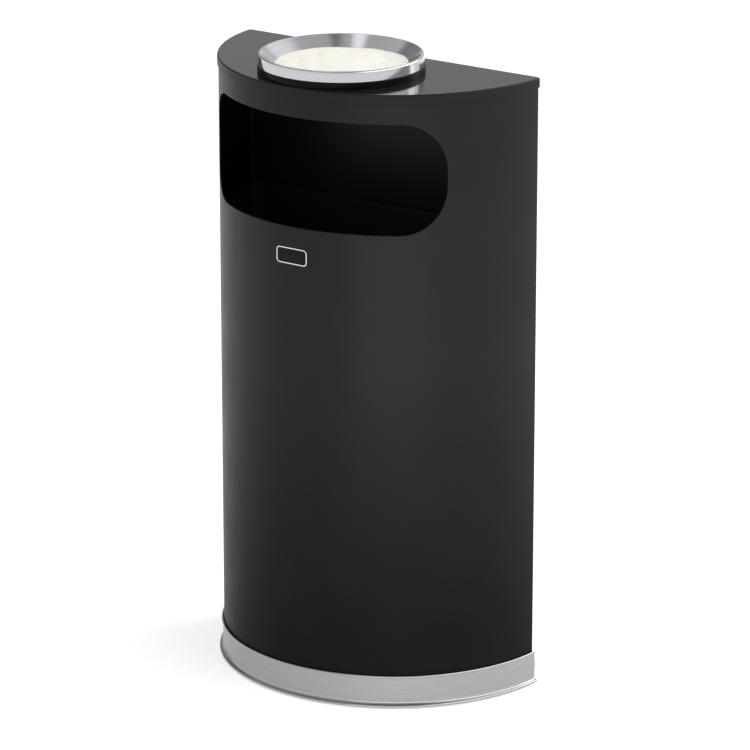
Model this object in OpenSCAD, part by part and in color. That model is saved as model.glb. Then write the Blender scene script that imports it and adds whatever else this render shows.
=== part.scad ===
// Half-round ashtray bin: a flat-backed sheet-steel litter bin with a wide rounded opening in
// its curved front, a lift-off lid with a round ash pan of sand, a lift-out liner and a satin
// metal ring round its foot. Millimetres, +Z up, the front faces -Y, the floor is at Z = 0.
// The shapes are drawn with the back face of the shell at Y = 0, and in_frame() then moves
// every piece so that the origin is under the middle of the whole bin.

/* [Shell] */
// Width of the shell across its back corners
body_w = 446; // [400:1:560]
// Depth of the shell from its back face to the front of its curve
body_d = 216; // [214:1:270]
// Height of the shell's top edge above the floor
body_top = 798.8; // [760:0.1:1000]
// Height of the shell's bottom edge above the floor
body_bottom = 3; // [2:0.5:8]
// Thickness of the steel sheet
sheet = 1; // [0.7:0.1:1.4]
// Outside radius of the bend at each back corner
back_bend = 4; // [3:0.5:8]
// Width of the flange behind each back corner
back_flange = 18; // [14:1:30]
// Width of the hem folded inside the top edge and the opening
hem_w = 8; // [5:1:12]
// Room between curved sheets that nest in each other
nest_gap = 0.1; // [0.05:0.05:0.3]

/* [Disposal opening] */
// Width of the opening along the curve of the sheet
opening_w = 404; // [240:1:440]
// Height of the opening
opening_h = 140; // [122:1:150]
// Height of the opening's bottom edge above the floor
opening_z = 622; // [600:1:630]
// Radius of the opening's corners
opening_corner = 60; // [20:1:60]

/* [Floor and feet] */
// Height of the floor pan's underside, which is the height of a rubber foot
floor_z = 12; // [8:1:16]
// Height of the floor pan's upturned flange
floor_flange = 24; // [20:1:32]
// Radius of a rubber foot where it meets the floor
foot_r = 11; // [8:1:14]
// Radius of a rubber foot where it meets the floor pan
foot_top_r = 13; // [10:1:16]
// Distance of a front foot from the middle
foot_front_x = 88; // [60:1:100]
// Distance of a front foot from the back face
foot_front_y = 155; // [120:1:160]
// Distance of a back foot from the middle
foot_back_x = 160; // [120:1:165]
// Distance of a back foot from the back face
foot_back_y = 36; // [34:1:60]
// Radius of the screw through a foot
foot_screw_r = 2.5; // [2:0.5:3]
// Radius of that screw's head
foot_head_r = 4.7; // [4:0.1:5.5]
// Height of that screw's head
foot_head_h = 3; // [2:0.5:4]
// Room round the head in its pocket
foot_pocket_room = 1.3; // [0.5:0.1:2]
// Depth of the pocket in the foot
foot_pocket_h = 5; // [4.5:0.5:6]
// Width of the nut across its flats
nut_across = 8; // [7:0.5:10]
// Height of the nut
nut_h = 4; // [3:0.5:5]
// How far the screw stands out of its nut
screw_past_nut = 1; // [0.5:0.5:2]

/* [Base ring] */
// Height of the ring
ring_h = 42.5; // [36:0.5:60]
// Height of the ring's foot above the floor
ring_z = 1.5; // [1:0.5:3]
// Thickness of the ring's wall
ring_t = 1.4; // [1:0.1:2]
// Radius of the bead along the ring's top edge
ring_bead = 1.7; // [1:0.1:2.5]
// How far the ring's foot stands out from the shell
ring_flare = 6.4; // [5:0.1:9]
// Radius of the foot's rounded lip
ring_lip = 2; // [1.5:0.1:2.5]
// Length of the tab that turns round the back at each end of the ring
ring_tab = 24; // [18:1:30]
// Height of that tab
ring_tab_h = 16; // [10:1:20]

/* [Rivets] */
// Radius of a rivet's shank
rivet_r = 1.6; // [1.2:0.1:2]
// Radius of a rivet's head
rivet_head_r = 3.4; // [2.8:0.1:4]
// Height of a rivet's head
rivet_head_h = 1.1; // [0.8:0.1:1.4]
// Radius of a rivet's set tail
rivet_tail_r = 2.6; // [2.2:0.1:3.2]
// Height of a rivet's set tail
rivet_tail_h = 1.2; // [0.8:0.1:1.6]
// Rivets in each column of the back
back_rivet_count = 7; // [4:1:10]
// Distance of a column's first and last rivet from the shell's ends
back_rivet_end = 76; // [60:1:120]
// Rivets through the floor pan's rear flange
floor_rivet_count = 3; // [2:1:5]
// Distance between those rivets
floor_rivet_step = 130; // [60:1:140]

/* [Lid] */
// Thickness of the lid's sheet
lid_t = 1.2; // [0.8:0.1:2]
// Depth of the lid's skirt below the shell's top edge
lid_skirt = 11; // [8:0.5:20]
// Room between the shell and the lid's skirt
lid_gap = 0.5; // [0.3:0.1:1]
// Outside radius of the bend round the lid's top edge
lid_bend = 2; // [1.2:0.1:2.4]

/* [Ash pan] */
// Distance of the pan's middle in front of the middle of the lid
pan_forward = 1; // [0:0.5:3]
// Outside diameter of the pan's rim
pan_rim_d = 204.2; // [180:0.2:206]
// Height of the rim above the lid
pan_rim_h = 22.6; // [20:0.2:30]
// How much wider the pan's skirt is at its lower edge than at the rim, on the radius
pan_skirt_out = 1.5; // [0:0.1:3]
// Radius of the rolled rim
pan_rim_roll = 1.6; // [1.2:0.1:2.2]
// Thickness of the pan's metal
pan_t = 1.2; // [0.8:0.1:1.5]
// Inside diameter of the pan's well
pan_well_d = 164.4; // [140:0.2:170]
// Height above the lid where the funnel meets the well
pan_well_h = 7; // [4:0.5:10]
// Depth of the well below the top of the lid
pan_below = 28; // [20:1:40]
// Inside radius between the well's wall and its bottom
pan_well_corner = 8; // [4:1:12]
// Room round the well in the lid's hole
pan_hole_room = 2.6; // [1:0.1:5]
// Height of the sand's middle above its edge
sand_mound = 3.5; // [1:0.5:6]
// Height of the sand's edge above the bottom of the funnel
sand_rise = 0.8; // [0.4:0.1:2]
// Room between the sand and the metal
sand_gap = 0.1; // [0.05:0.05:0.3]

/* [Seat ring] */
// Height of the seat ring on the lid
seat_h = 8.8; // [6:0.2:12]
// How far the seat ring stands out beyond the lower edge of the pan's skirt
seat_out = 1.2; // [0:0.1:2]
// Width of the seat ring
seat_w = 9; // [7:0.5:12]
// Radius of the seat ring's outer top edge
seat_edge = 1; // [0.5:0.1:1.5]
// Screws that hold the seat ring
seat_screw_count = 6; // [3:1:8]
// Radius of those screws
seat_screw_r = 1.7; // [1.2:0.1:2]
// How far those screws reach into the seat ring
seat_screw_in = 4.8; // [3:0.1:5.2]
// Depth of their holes past the screws' ends
seat_screw_tip = 0.5; // [0.3:0.1:1]
// Radius of those screws' heads
seat_screw_head_r = 3.2; // [2.6:0.1:3.6]
// Height of those screws' heads
seat_screw_head_h = 2; // [1.4:0.1:2.4]

/* [Liner] */
// Height of the liner's rim above the floor
liner_top = 606; // [500:1:610]
// Room between the shell's inside and the liner's rim
liner_room = 7; // [5:0.5:12]
// Width of the liner's rolled rim
liner_rim = 6; // [4:0.5:9]
// Depth of the rim's down-turned edge
liner_rim_h = 12; // [8:1:20]
// Wall thickness of the liner
liner_t = 2.4; // [1.8:0.1:3]
// How much the liner's wall leans in from its rim to its foot
liner_lean = 7; // [4:0.5:10]
// Radius of the liner's back corners at the rim
liner_corner = 22; // [15:1:30]
// Height of the liner's bottom above its foot
liner_foot_h = 9; // [8:0.5:14]

/* [Badge plate] */
// Width of the plate
badge_w = 46; // [30:1:60]
// Height of the plate
badge_h = 21; // [14:1:30]
// Height of the plate's middle above the floor
badge_z = 584.5; // [400:0.5:590]
// Radius of the plate's corners
badge_corner = 5; // [2:0.5:7]
// Thickness of the plate
badge_t = 0.8; // [0.5:0.1:1.5]
// Width of the raised border
badge_border = 1.4; // [0.8:0.1:3]
// Height of the raised border
badge_raise = 0.4; // [0.2:0.1:0.8]

/* [Hidden] */
// Facets of holes and discs, of the large curves, of the bends and of the smallest rounds
$fn = 96;
arc_fn = 180;
bend_fn = 48;
bead_fn = 32;

// Extra length of a cutting tool past the face that it cuts
over = 1;
// The plan's arc: its radius, and its centre behind the back face
arc_r = (pow(body_w / 2, 2) + pow(body_d, 2)) / (2 * body_d);
arc_y = arc_r - body_d;
// A length that reaches past every piece of the bin
reach = 2 * (body_w + body_d);

// The lid's own outline stands this far out from the shell
lid_out = lid_gap + lid_t;
lid_top = body_top + lid_t;
// The furthest point behind the back face, and the move that centres the bin
back_reach = max(lid_out, ring_t + rivet_head_h);
frame_y = (body_d + ring_flare - back_reach) / 2;

// The back panel lies inside the flanges, and the floor pan's flange inside the panel
panel_inner = 2 * sheet;
back_bend_x = bend_x(0, 0, back_bend);
back_rivet_x = back_bend_x - back_flange / 2 + rivet_head_r / 2;
back_rivet_z0 = body_bottom + back_rivet_end;
back_rivet_step = (body_top - body_bottom - 2 * back_rivet_end) / (back_rivet_count - 1);
floor_top = floor_z + sheet;
floor_rivet_z = floor_z + floor_flange / 2;
// Room round a rivet or a screw in its hole
hole_room = 0.05;

// Feet: the screw's head sits in a pocket, and its nut on the floor pan
feet = [
    [-foot_front_x, -foot_front_y], [foot_front_x, -foot_front_y],
    [-foot_back_x, -foot_back_y], [foot_back_x, -foot_back_y]
];
foot_pocket_r = foot_head_r + foot_pocket_room;

// The pan's middle, and the main radii and heights of its section above the lid
pan_y = -body_d / 2 - pan_forward;
rim_r = pan_rim_d / 2;
skirt_r = rim_r + pan_skirt_out;
well_r = pan_well_d / 2;
funnel_h = pan_rim_h - pan_rim_roll;
sand_edge_h = pan_well_h + sand_rise;
lid_hole_r = well_r + pan_t + pan_hole_room;
seat_r = skirt_r + seat_out;
seat_screw_ring = seat_r - seat_w / 2;

// The liner's walls, measured in from the shell's outline
liner_z = floor_top;
liner_rim_in = 2 * sheet + liner_room;
liner_top_in = liner_rim_in + liner_rim;
liner_foot_in = liner_top_in + liner_lean;
// Height of the thin slices that the liner's sloping walls run between
slice = 0.01;

// Half the distance between the centres of two back corners of radius corner, in an outline
// that lies inset inside the arc and back in front of the back face
function bend_x(inset, back, corner) =
    sqrt(pow(arc_r - inset - corner, 2) - pow(arc_y + back + corner, 2));

// Points along a quarter circle of radius r round [x, z], from angle a
function quarter(x, z, r, a, steps = 10) =
    [for (i = [0:steps]) [x + r * cos(a + 90 * i / steps), z + r * sin(a + 90 * i / steps)]];

// A point of the flat sheet as it stands after the sheet is rolled to the arc
function rolled(p) = [arc_r * sin(p[0] / arc_r * 180 / PI), p[1]];

module in_frame() {
    translate([0, frame_y, 0]) children();
}

// Everything that lies further than y in front of the back face
module front_half(y) {
    translate([-reach / 2, -reach - y, -reach / 2]) cube([reach, reach, 2 * reach]);
}

// Turns a section, drawn as radius and height, round the arc's centre and keeps its front half
module round_arc() {
    intersection() {
        translate([0, arc_y, 0]) rotate_extrude($fn = arc_fn) children();
        front_half(0);
    }
}

// The half-round outline, inset inside the arc and back in front of the back face
module plan(inset, back, corner) {
    r = arc_r - inset;
    y = -back - corner;
    x = bend_x(inset, back, corner);
    far_y = arc_y + 2 * (y - arc_y);
    intersection() {
        translate([0, arc_y]) circle(r, $fn = arc_fn);
        polygon([[-x, y], [x, y], [2 * x, far_y], [2 * x, -reach], [-2 * x, -reach], [-2 * x, far_y]]);
    }
    translate([-x, y]) square([2 * x, corner]);
    for (side = [-1, 1]) translate([side * x, y]) circle(corner, $fn = bend_fn);
}

// A wall between two outlines that follow the shell's own, from outer to inner inside it
module plan_wall(outer, inner) {
    difference() {
        plan(outer, outer, back_bend - outer);
        plan(inner, inner, back_bend - inner);
    }
}

// A rounded rectangle of the flat sheet, after rolling: X across the bin and Y as its height
module rolled_outline(w, h, corner) {
    x = w / 2 - corner;
    z = h / 2 - corner;
    flat = concat(
        quarter(x, z, corner, 0), quarter(-x, z, corner, 90),
        quarter(-x, -z, corner, 180), quarter(x, -z, corner, 270)
    );
    polygon([for (p = flat) rolled(p)]);
}

// A tool in the shape of that outline, which cuts through the front at height z
module front_tool(z, w, h, corner) {
    translate([0, 0, z]) rotate([90, 0, 0]) linear_extrude(reach) rolled_outline(w, h, corner);
}

module opening_tool(grow) {
    front_tool(opening_z + opening_h / 2, opening_w + 2 * grow, opening_h + 2 * grow, opening_corner + grow);
}

// A rivet along +Y: its head stands behind face y, and its tail in front of the layers
module rivet(x, y, z, layers) {
    dome_r = (pow(rivet_head_r, 2) + pow(rivet_head_h, 2)) / (2 * rivet_head_h);
    translate([x, y, z]) rotate([-90, 0, 0]) {
        intersection() {
            cylinder(r = rivet_head_r, h = rivet_head_h);
            translate([0, 0, rivet_head_h - dome_r]) sphere(dome_r);
        }
        translate([0, 0, -layers - rivet_tail_h]) cylinder(r = rivet_r, h = layers + rivet_tail_h);
        translate([0, 0, -layers - rivet_tail_h]) cylinder(r = rivet_tail_r, h = rivet_tail_h);
    }
}

module rivet_hole(x, z) {
    translate([x, over, z]) rotate([90, 0, 0])
        cylinder(r = rivet_r + hole_room, h = back_bend + ring_t + over);
}

// Places of the rivets on the back, as X and height
function back_rivet_places() = [
    for (side = [-1, 1]) for (i = [0:back_rivet_count - 1])
        [side * back_rivet_x, back_rivet_z0 + i * back_rivet_step]
];
function floor_rivet_places() = [
    for (i = [0:floor_rivet_count - 1])
        [(i - (floor_rivet_count - 1) / 2) * floor_rivet_step, floor_rivet_z]
];
function ring_rivet_places() = [for (side = [-1, 1]) [side * back_rivet_x, floor_rivet_z]];

module rivet_holes(places) {
    for (p = places) rivet_hole(p[0], p[1]);
}

module front_shell() {
    half = back_bend_x - back_flange;
    color("#26272a") difference() {
        union() {
            translate([0, 0, body_bottom]) linear_extrude(body_top - body_bottom) plan_wall(0, sheet);
            intersection() {
                translate([0, 0, body_top - hem_w]) linear_extrude(hem_w) plan_wall(sheet, 2 * sheet);
                front_half(2 * back_bend);
            }
            intersection() {
                translate([0, 0, opening_z - 2 * hem_w]) linear_extrude(opening_h + 4 * hem_w)
                    plan_wall(sheet, 2 * sheet);
                opening_tool(hem_w);
                front_half(2 * back_bend);
            }
        }
        opening_tool(0);
        translate([-half, -sheet - over / 2, body_bottom - over])
            cube([2 * half, sheet + over, body_top - body_bottom + 2 * over]);
        rivet_holes(concat(back_rivet_places(), ring_rivet_places()));
    }
}

module back_panel() {
    half = back_bend_x - nest_gap;
    color("#26272a") difference() {
        union() {
            translate([-half, -panel_inner, body_bottom]) cube([2 * half, sheet, body_top - body_bottom]);
            translate([-half, -panel_inner - sheet, body_top - hem_w]) cube([2 * half, sheet, hem_w]);
        }
        rivet_holes(concat(back_rivet_places(), ring_rivet_places(), floor_rivet_places()));
    }
}

module back_rivets() {
    color("#303134") for (p = back_rivet_places()) rivet(p[0], 0, p[1], panel_inner);
}

module floor_pan() {
    edge = sheet + nest_gap;
    color("#232427") difference() {
        translate([0, 0, floor_z]) linear_extrude(floor_flange) plan(edge, panel_inner, back_bend);
        translate([0, 0, floor_top]) linear_extrude(floor_flange)
            plan(edge + sheet, panel_inner + sheet, back_bend - sheet);
        for (p = feet) translate([p[0], p[1], 0])
            cylinder(r = foot_screw_r + hole_room, h = floor_top + over);
        rivet_holes(concat(ring_rivet_places(), floor_rivet_places()));
    }
}

module floor_rivets() {
    color("#303134") for (p = floor_rivet_places()) rivet(p[0], -sheet, p[1], panel_inner);
}

// Section of the ring: a bead, a wall, and a cove that runs out to the rounded lip of the foot
module ring_section() {
    inner = arc_r + nest_gap;
    outer = inner + ring_t;
    cove = arc_r + ring_flare - ring_lip - outer;
    lip_top = ring_z + 2 * ring_lip;
    bead_z = ring_z + ring_h - ring_bead;
    translate([inner, ring_z]) square([ring_t, bead_z - ring_z]);
    translate([inner + ring_bead, bead_z]) circle(ring_bead, $fn = bead_fn);
    translate([inner, ring_z]) square([ring_t + cove, 2 * ring_lip]);
    translate([arc_r + ring_flare - ring_lip, ring_z + ring_lip]) circle(ring_lip, $fn = bead_fn);
    difference() {
        translate([inner, ring_z]) square([ring_t + cove, 2 * ring_lip + cove]);
        translate([outer + cove, lip_top + cove]) circle(cove, $fn = bend_fn);
    }
}

module base_ring() {
    tab_z = floor_rivet_z - ring_tab_h / 2;
    end_x = sqrt(pow(arc_r + nest_gap + ring_t, 2) - pow(arc_y, 2));
    color("#b4b5b6") {
        round_arc() ring_section();
        difference() {
            for (side = [-1, 1])
                translate([side < 0 ? -end_x : end_x - ring_tab, 0, tab_z])
                    cube([ring_tab, ring_t, ring_tab_h]);
            for (p = ring_rivet_places()) translate([0, ring_t, 0]) rivet_hole(p[0], p[1]);
        }
    }
}

module ring_rivets() {
    color("#a9aaac") for (p = ring_rivet_places()) rivet(p[0], ring_t, p[1], ring_t + panel_inner + sheet);
}

module badge_plate() {
    inner_corner = badge_corner - badge_border;
    color("#1c1d1f") intersection() {
        translate([0, arc_y, badge_z - badge_h]) linear_extrude(2 * badge_h) difference() {
            circle(arc_r + badge_t, $fn = arc_fn);
            circle(arc_r, $fn = arc_fn);
        }
        front_tool(badge_z, badge_w, badge_h, badge_corner);
    }
    color("#c9cacc") intersection() {
        translate([0, arc_y, badge_z - badge_h]) linear_extrude(2 * badge_h) difference() {
            circle(arc_r + badge_t + badge_raise, $fn = arc_fn);
            circle(arc_r + badge_t, $fn = arc_fn);
        }
        difference() {
            front_tool(badge_z, badge_w, badge_h, badge_corner);
            front_tool(badge_z, badge_w - 2 * badge_border, badge_h - 2 * badge_border, inner_corner);
        }
    }
}

module foot(i) {
    color("#1a1a1a") translate([feet[i][0], feet[i][1], 0]) difference() {
        cylinder(r1 = foot_r, r2 = foot_top_r, h = floor_z);
        translate([0, 0, -over]) cylinder(r = foot_pocket_r, h = foot_pocket_h + over);
        cylinder(r = foot_screw_r + hole_room, h = floor_z + over);
    }
}

module foot_screws() {
    head_z = foot_pocket_h - foot_head_h;
    color("#8e9194") for (p = feet) translate([p[0], p[1], head_z]) {
        cylinder(r = foot_head_r, h = foot_head_h);
        cylinder(r = foot_screw_r, h = floor_top + nut_h + screw_past_nut - head_z);
    }
}

module foot_nuts() {
    color("#8e9194") for (p = feet) translate([p[0], p[1], floor_top]) difference() {
        cylinder(r = nut_across / sqrt(3), h = nut_h, $fn = 6);
        translate([0, 0, -over]) cylinder(r = foot_screw_r + hole_room, h = nut_h + 2 * over);
    }
}

// The liner's outline at a height, where its wall lies inset inside the shell's outline
module liner_plan(inset) {
    plan(inset, inset, liner_corner - inset + liner_top_in);
}

module liner_slope(z0, in0, z1, in1) {
    hull() {
        translate([0, 0, z0]) linear_extrude(slice) liner_plan(in0);
        translate([0, 0, z1 - slice]) linear_extrude(slice) liner_plan(in1);
    }
}

module liner() {
    bottom = liner_z + liner_foot_h;
    color("#2c2d2f") {
        difference() {
            liner_slope(liner_z, liner_foot_in, liner_top, liner_top_in);
            liner_slope(bottom + liner_t, liner_foot_in + liner_t, liner_top + over, liner_top_in + liner_t);
            translate([0, 0, liner_z - over]) linear_extrude(liner_foot_h + over)
                liner_plan(liner_foot_in + liner_t);
        }
        translate([0, 0, liner_top - liner_t]) linear_extrude(liner_t) difference() {
            liner_plan(liner_rim_in);
            liner_plan(liner_top_in + liner_t / 2);
        }
        translate([0, 0, liner_top - liner_rim_h]) linear_extrude(liner_rim_h) difference() {
            liner_plan(liner_rim_in);
            liner_plan(liner_rim_in + liner_t);
        }
    }
}

// What the lid's rounded edge loses, drawn from the sharp corner at the origin
module lid_edge_section() {
    translate([-lid_bend, -lid_bend]) difference() {
        square(lid_bend + over);
        circle(lid_bend, $fn = bend_fn);
    }
}

// Tools that round the lid's top edge along its arc, its straight back and its two corners
module lid_edge_tools() {
    x = back_bend_x;
    corner = back_bend + lid_out;
    far = 2 * corner;
    turn = atan2(back_bend + arc_y, x);
    translate([0, arc_y, lid_top]) rotate_extrude($fn = arc_fn)
        translate([arc_r + lid_out, 0]) lid_edge_section();
    translate([-x, lid_out, lid_top]) rotate([90, 0, 90]) linear_extrude(2 * x) lid_edge_section();
    for (side = [0, 1]) mirror([side, 0, 0]) translate([x, -back_bend, lid_top]) intersection() {
        rotate_extrude($fn = bend_fn) translate([corner, 0]) lid_edge_section();
        translate([0, 0, -lid_bend - over]) linear_extrude(2 * lid_bend + 2 * over)
            polygon([[0, 0], [far, -far * tan(turn)], [far, far], [0, far]]);
    }
}

function seat_screw_angles() = [for (i = [0:seat_screw_count - 1]) (i + 0.5) * 360 / seat_screw_count];

module seat_screw_places() {
    for (a = seat_screw_angles()) translate([0, pan_y, 0]) rotate([0, 0, a])
        translate([seat_screw_ring, 0, 0]) children();
}

module lid_cover() {
    color("#2b2c2e") difference() {
        translate([0, 0, body_top - lid_skirt]) linear_extrude(lid_skirt + lid_t)
            plan(-lid_out, -lid_out, back_bend + lid_out);
        translate([0, 0, body_top - lid_skirt - over]) linear_extrude(lid_skirt + over)
            plan(-lid_gap, -lid_gap, back_bend + lid_gap);
        lid_edge_tools();
        translate([0, pan_y, body_top - over]) cylinder(r = lid_hole_r, h = lid_t + 2 * over, $fn = arc_fn);
        seat_screw_places() translate([0, 0, body_top - over])
            cylinder(r = seat_screw_r + hole_room, h = lid_t + 2 * over);
    }
}

module seat_ring() {
    color("#101011") difference() {
        translate([0, pan_y, lid_top]) rotate_extrude($fn = arc_fn) {
            translate([seat_r - seat_w, 0]) square([seat_w - seat_edge, seat_h]);
            translate([seat_r - seat_edge, 0]) square([seat_edge, seat_h - seat_edge]);
            translate([seat_r - seat_edge, seat_h - seat_edge]) circle(seat_edge, $fn = bead_fn);
        }
        seat_screw_places() translate([0, 0, lid_top - over])
            cylinder(r = seat_screw_r + hole_room, h = seat_screw_in + seat_screw_tip + over);
    }
}

module seat_screws() {
    color("#8e9194") seat_screw_places() translate([0, 0, body_top - seat_screw_head_h]) {
        cylinder(r = seat_screw_head_r, h = seat_screw_head_h);
        cylinder(r = seat_screw_r, h = seat_screw_head_h + lid_t + seat_screw_in);
    }
}

// Section of the spun pan above the lid: skirt, rolled rim, funnel, well and rounded bottom
module pan_section() {
    corner = pan_well_corner + pan_t;
    roll_r = rim_r - pan_rim_roll;
    polygon([
        [skirt_r - pan_t, seat_h], [skirt_r, seat_h], [rim_r, funnel_h], [rim_r - pan_t, funnel_h]
    ]);
    translate([roll_r, funnel_h]) circle(pan_rim_roll, $fn = bead_fn);
    polygon([
        [roll_r, funnel_h + pan_rim_roll / 2], [well_r, pan_well_h + pan_t / 2],
        [well_r, pan_well_h - pan_t], [well_r + pan_t, pan_well_h - pan_t], [roll_r, funnel_h - pan_t / 2]
    ]);
    translate([well_r, corner - pan_below]) square([pan_t, pan_well_h - pan_t / 2 - corner + pan_below]);
    intersection() {
        translate([well_r + pan_t - corner, corner - pan_below]) difference() {
            circle(corner, $fn = bend_fn);
            circle(pan_well_corner, $fn = bend_fn);
        }
        translate([well_r + pan_t - corner, -pan_below]) square(corner);
    }
    translate([0, -pan_below]) square([well_r + pan_t - corner, pan_t]);
}

module ash_pan() {
    color("#d3d4d8") translate([0, pan_y, lid_top]) rotate_extrude($fn = arc_fn) pan_section();
}

// The sand fills the well up to the foot of the funnel and ends in a low mound
module sand() {
    inner_r = well_r - sand_gap;
    dome_r = (pow(inner_r, 2) + pow(sand_mound, 2)) / (2 * sand_mound);
    low = pan_t - pan_below + sand_gap;
    corner = pan_well_corner;
    color("#efe9d8") translate([0, pan_y, lid_top]) rotate_extrude($fn = arc_fn) {
        translate([0, low + corner]) square([inner_r, sand_edge_h - low - corner]);
        translate([0, low]) square([inner_r - corner, corner]);
        intersection() {
            translate([inner_r - corner, low + corner]) circle(corner, $fn = bend_fn);
            translate([inner_r - corner, low]) square(corner);
        }
        intersection() {
            translate([0, sand_edge_h + sand_mound - dome_r]) circle(dome_r, $fn = arc_fn);
            translate([0, sand_edge_h]) square([inner_r, sand_mound]);
        }
    }
}

in_frame() front_shell();
in_frame() back_panel();
in_frame() back_rivets();
in_frame() floor_pan();
in_frame() floor_rivets();
in_frame() base_ring();
in_frame() ring_rivets();
in_frame() badge_plate();
in_frame() foot(0);  // foot_1
in_frame() foot(1);  // foot_2
in_frame() foot(2);  // foot_3
in_frame() foot(3);  // foot_4
in_frame() foot_screws();
in_frame() foot_nuts();
in_frame() liner();
in_frame() lid_cover();
in_frame() seat_ring();
in_frame() seat_screws();
in_frame() ash_pan();
in_frame() sand();
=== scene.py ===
# %% [markdown]
# # A half-round ashtray bin
# The bin is made of a few kinds of work: one rolled and hemmed steel sheet, a pressed lid, a spun
# aluminium pan of sand, a drawn metal ring round the foot, and small fasteners. The frame that is
# loaded below fixes where every piece sits, so nothing here is fitted by eye. After it come the
# helpers and the finishes, and then each piece, made the way its real shape is made.

# %% Load the fixed frame
import math

import bmesh
import bpy
import numpy as np
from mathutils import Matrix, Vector, noise


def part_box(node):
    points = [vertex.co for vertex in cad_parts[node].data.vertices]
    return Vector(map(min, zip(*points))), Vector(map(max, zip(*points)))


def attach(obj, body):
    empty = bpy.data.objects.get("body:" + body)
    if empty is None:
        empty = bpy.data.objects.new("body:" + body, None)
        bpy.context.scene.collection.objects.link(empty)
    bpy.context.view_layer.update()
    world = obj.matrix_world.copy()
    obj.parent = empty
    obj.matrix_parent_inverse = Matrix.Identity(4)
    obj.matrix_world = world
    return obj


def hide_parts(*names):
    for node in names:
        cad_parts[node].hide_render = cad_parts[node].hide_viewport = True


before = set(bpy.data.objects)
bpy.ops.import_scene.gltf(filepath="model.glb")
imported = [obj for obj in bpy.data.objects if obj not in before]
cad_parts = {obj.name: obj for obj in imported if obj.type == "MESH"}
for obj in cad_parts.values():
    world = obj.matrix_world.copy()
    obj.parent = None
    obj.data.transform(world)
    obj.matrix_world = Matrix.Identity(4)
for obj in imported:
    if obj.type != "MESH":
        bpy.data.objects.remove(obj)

MM = 0.001
scene = bpy.context.scene
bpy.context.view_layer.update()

# %% [markdown]
# ## The plan that everything follows
# Seen from above, the shell is an arc that ends in two small bends and a flat back. The lid, the
# liner and the foot ring all follow that same outline at some distance from it. So the outline is
# written once, from the width and the depth of the shell, and each piece asks for it with an inset.

# %% The half-round outline
SHELL_W = 446 * MM
BACK_BEND = 4 * MM
BACK_FLANGE = 18 * MM
SHEET = 1 * MM

shell_low, shell_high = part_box("front_shell")
back_y = shell_high.y
shell_d = shell_high.y - shell_low.y
arc_r = ((SHELL_W / 2) ** 2 + shell_d ** 2) / (2 * shell_d)
arc_y = back_y + arc_r - shell_d


def bend_centre(inset, corner):
    """X and Y of the right back corner's centre, in an outline inset from the shell's."""
    y = back_y - inset - corner
    return math.sqrt((arc_r - inset - corner) ** 2 - (arc_y - y) ** 2), y


def front_arc(x, y, radius, start, stop, steps):
    """Points along part of a circle round (x, y), with its angles measured from the front."""
    turn = np.linspace(start, stop, steps + 1)
    return np.stack([x + radius * np.sin(turn), y - radius * np.cos(turn)], 1)


def half_round(inset, corner, arc_steps=168, bend_steps=8, back_steps=48):
    """The closed outline as rows of X and Y: front arc, left bend, back and right bend."""
    bend_x, bend_y = bend_centre(inset, corner)
    end = math.atan2(bend_x, arc_y - bend_y)
    back = np.linspace(-bend_x, bend_x, back_steps + 1)[1:]
    return np.concatenate([
        front_arc(0, arc_y, arc_r - inset, end, -end, arc_steps),
        front_arc(-bend_x, bend_y, corner, -end, -math.pi, bend_steps)[1:],
        np.stack([back, np.full_like(back, back_y - inset)], 1),
        front_arc(bend_x, bend_y, corner, math.pi, end, bend_steps)[1:-1],
    ])


print("arc radius, mm:", round(arc_r / MM, 2), "outline points:", len(half_round(0, BACK_BEND)))

# %% [markdown]
# ## Sections with rounded corners
# A drawing gives a section as corners with a radius each, and so does this file: the lid's edge,
# the pan, the liner's rim and the badge are all lists of corners. A Bevel modifier could round them
# too, but here each corner has a radius of its own. So one helper turns such a list into points,
# with a short arc at every corner that has a radius.

# %% Helpers: rounded corners
def unit(vectors):
    """Vectors brought to a length of 1."""
    return vectors / np.linalg.norm(vectors, axis=-1, keepdims=True)


def soften(corners, steps=6, closed=True):
    """Points along an outline of corners (a, b, radius), with each corner rounded."""
    found = []
    count = len(corners)
    for i, (a, b, radius) in enumerate(corners):
        here = np.array([a, b], float)
        if radius == 0 or (not closed and i in (0, count - 1)):
            found.append(here)
            continue
        to_last = unit(np.array(corners[i - 1][:2]) - here)
        to_next = unit(np.array(corners[(i + 1) % count][:2]) - here)
        half = math.acos(np.clip(to_last @ to_next, -1, 1)) / 2
        centre = here + unit(to_last + to_next) * radius / math.sin(half)
        start = here + to_last * radius / math.tan(half) - centre
        stop = here + to_next * radius / math.tan(half) - centre
        sweep = math.pi - 2 * half
        for t in np.linspace(0, 1, steps + 1):
            swing = math.sin((1 - t) * sweep) * start + math.sin(t * sweep) * stop
            found.append(centre + swing / math.sin(sweep))
    return np.array(found)


def rectangle(a, b, radii):
    """Corners of a rectangle between the two values of a and the two of b, with a radius each."""
    places = ((a[0], b[0]), (a[1], b[0]), (a[1], b[1]), (a[0], b[1]))
    return [(*place, radius) for place, radius in zip(places, radii)]


print("points of a rounded square:", len(soften(rectangle((0, 9), (0, 9), (1, 1, 1, 1)))))

# %% [markdown]
# ## Skins over loops
# Most of the bin is a skin over a row of loops: a lathe turns a section into circles, and the lid
# and the liner stack outlines. The Weighted Normal modifier keeps large faces flat where they run
# into small bends.

# %% Helpers: a finished piece
SHARP_ANGLE = math.radians(38)
MERGE = 1e-6


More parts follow.
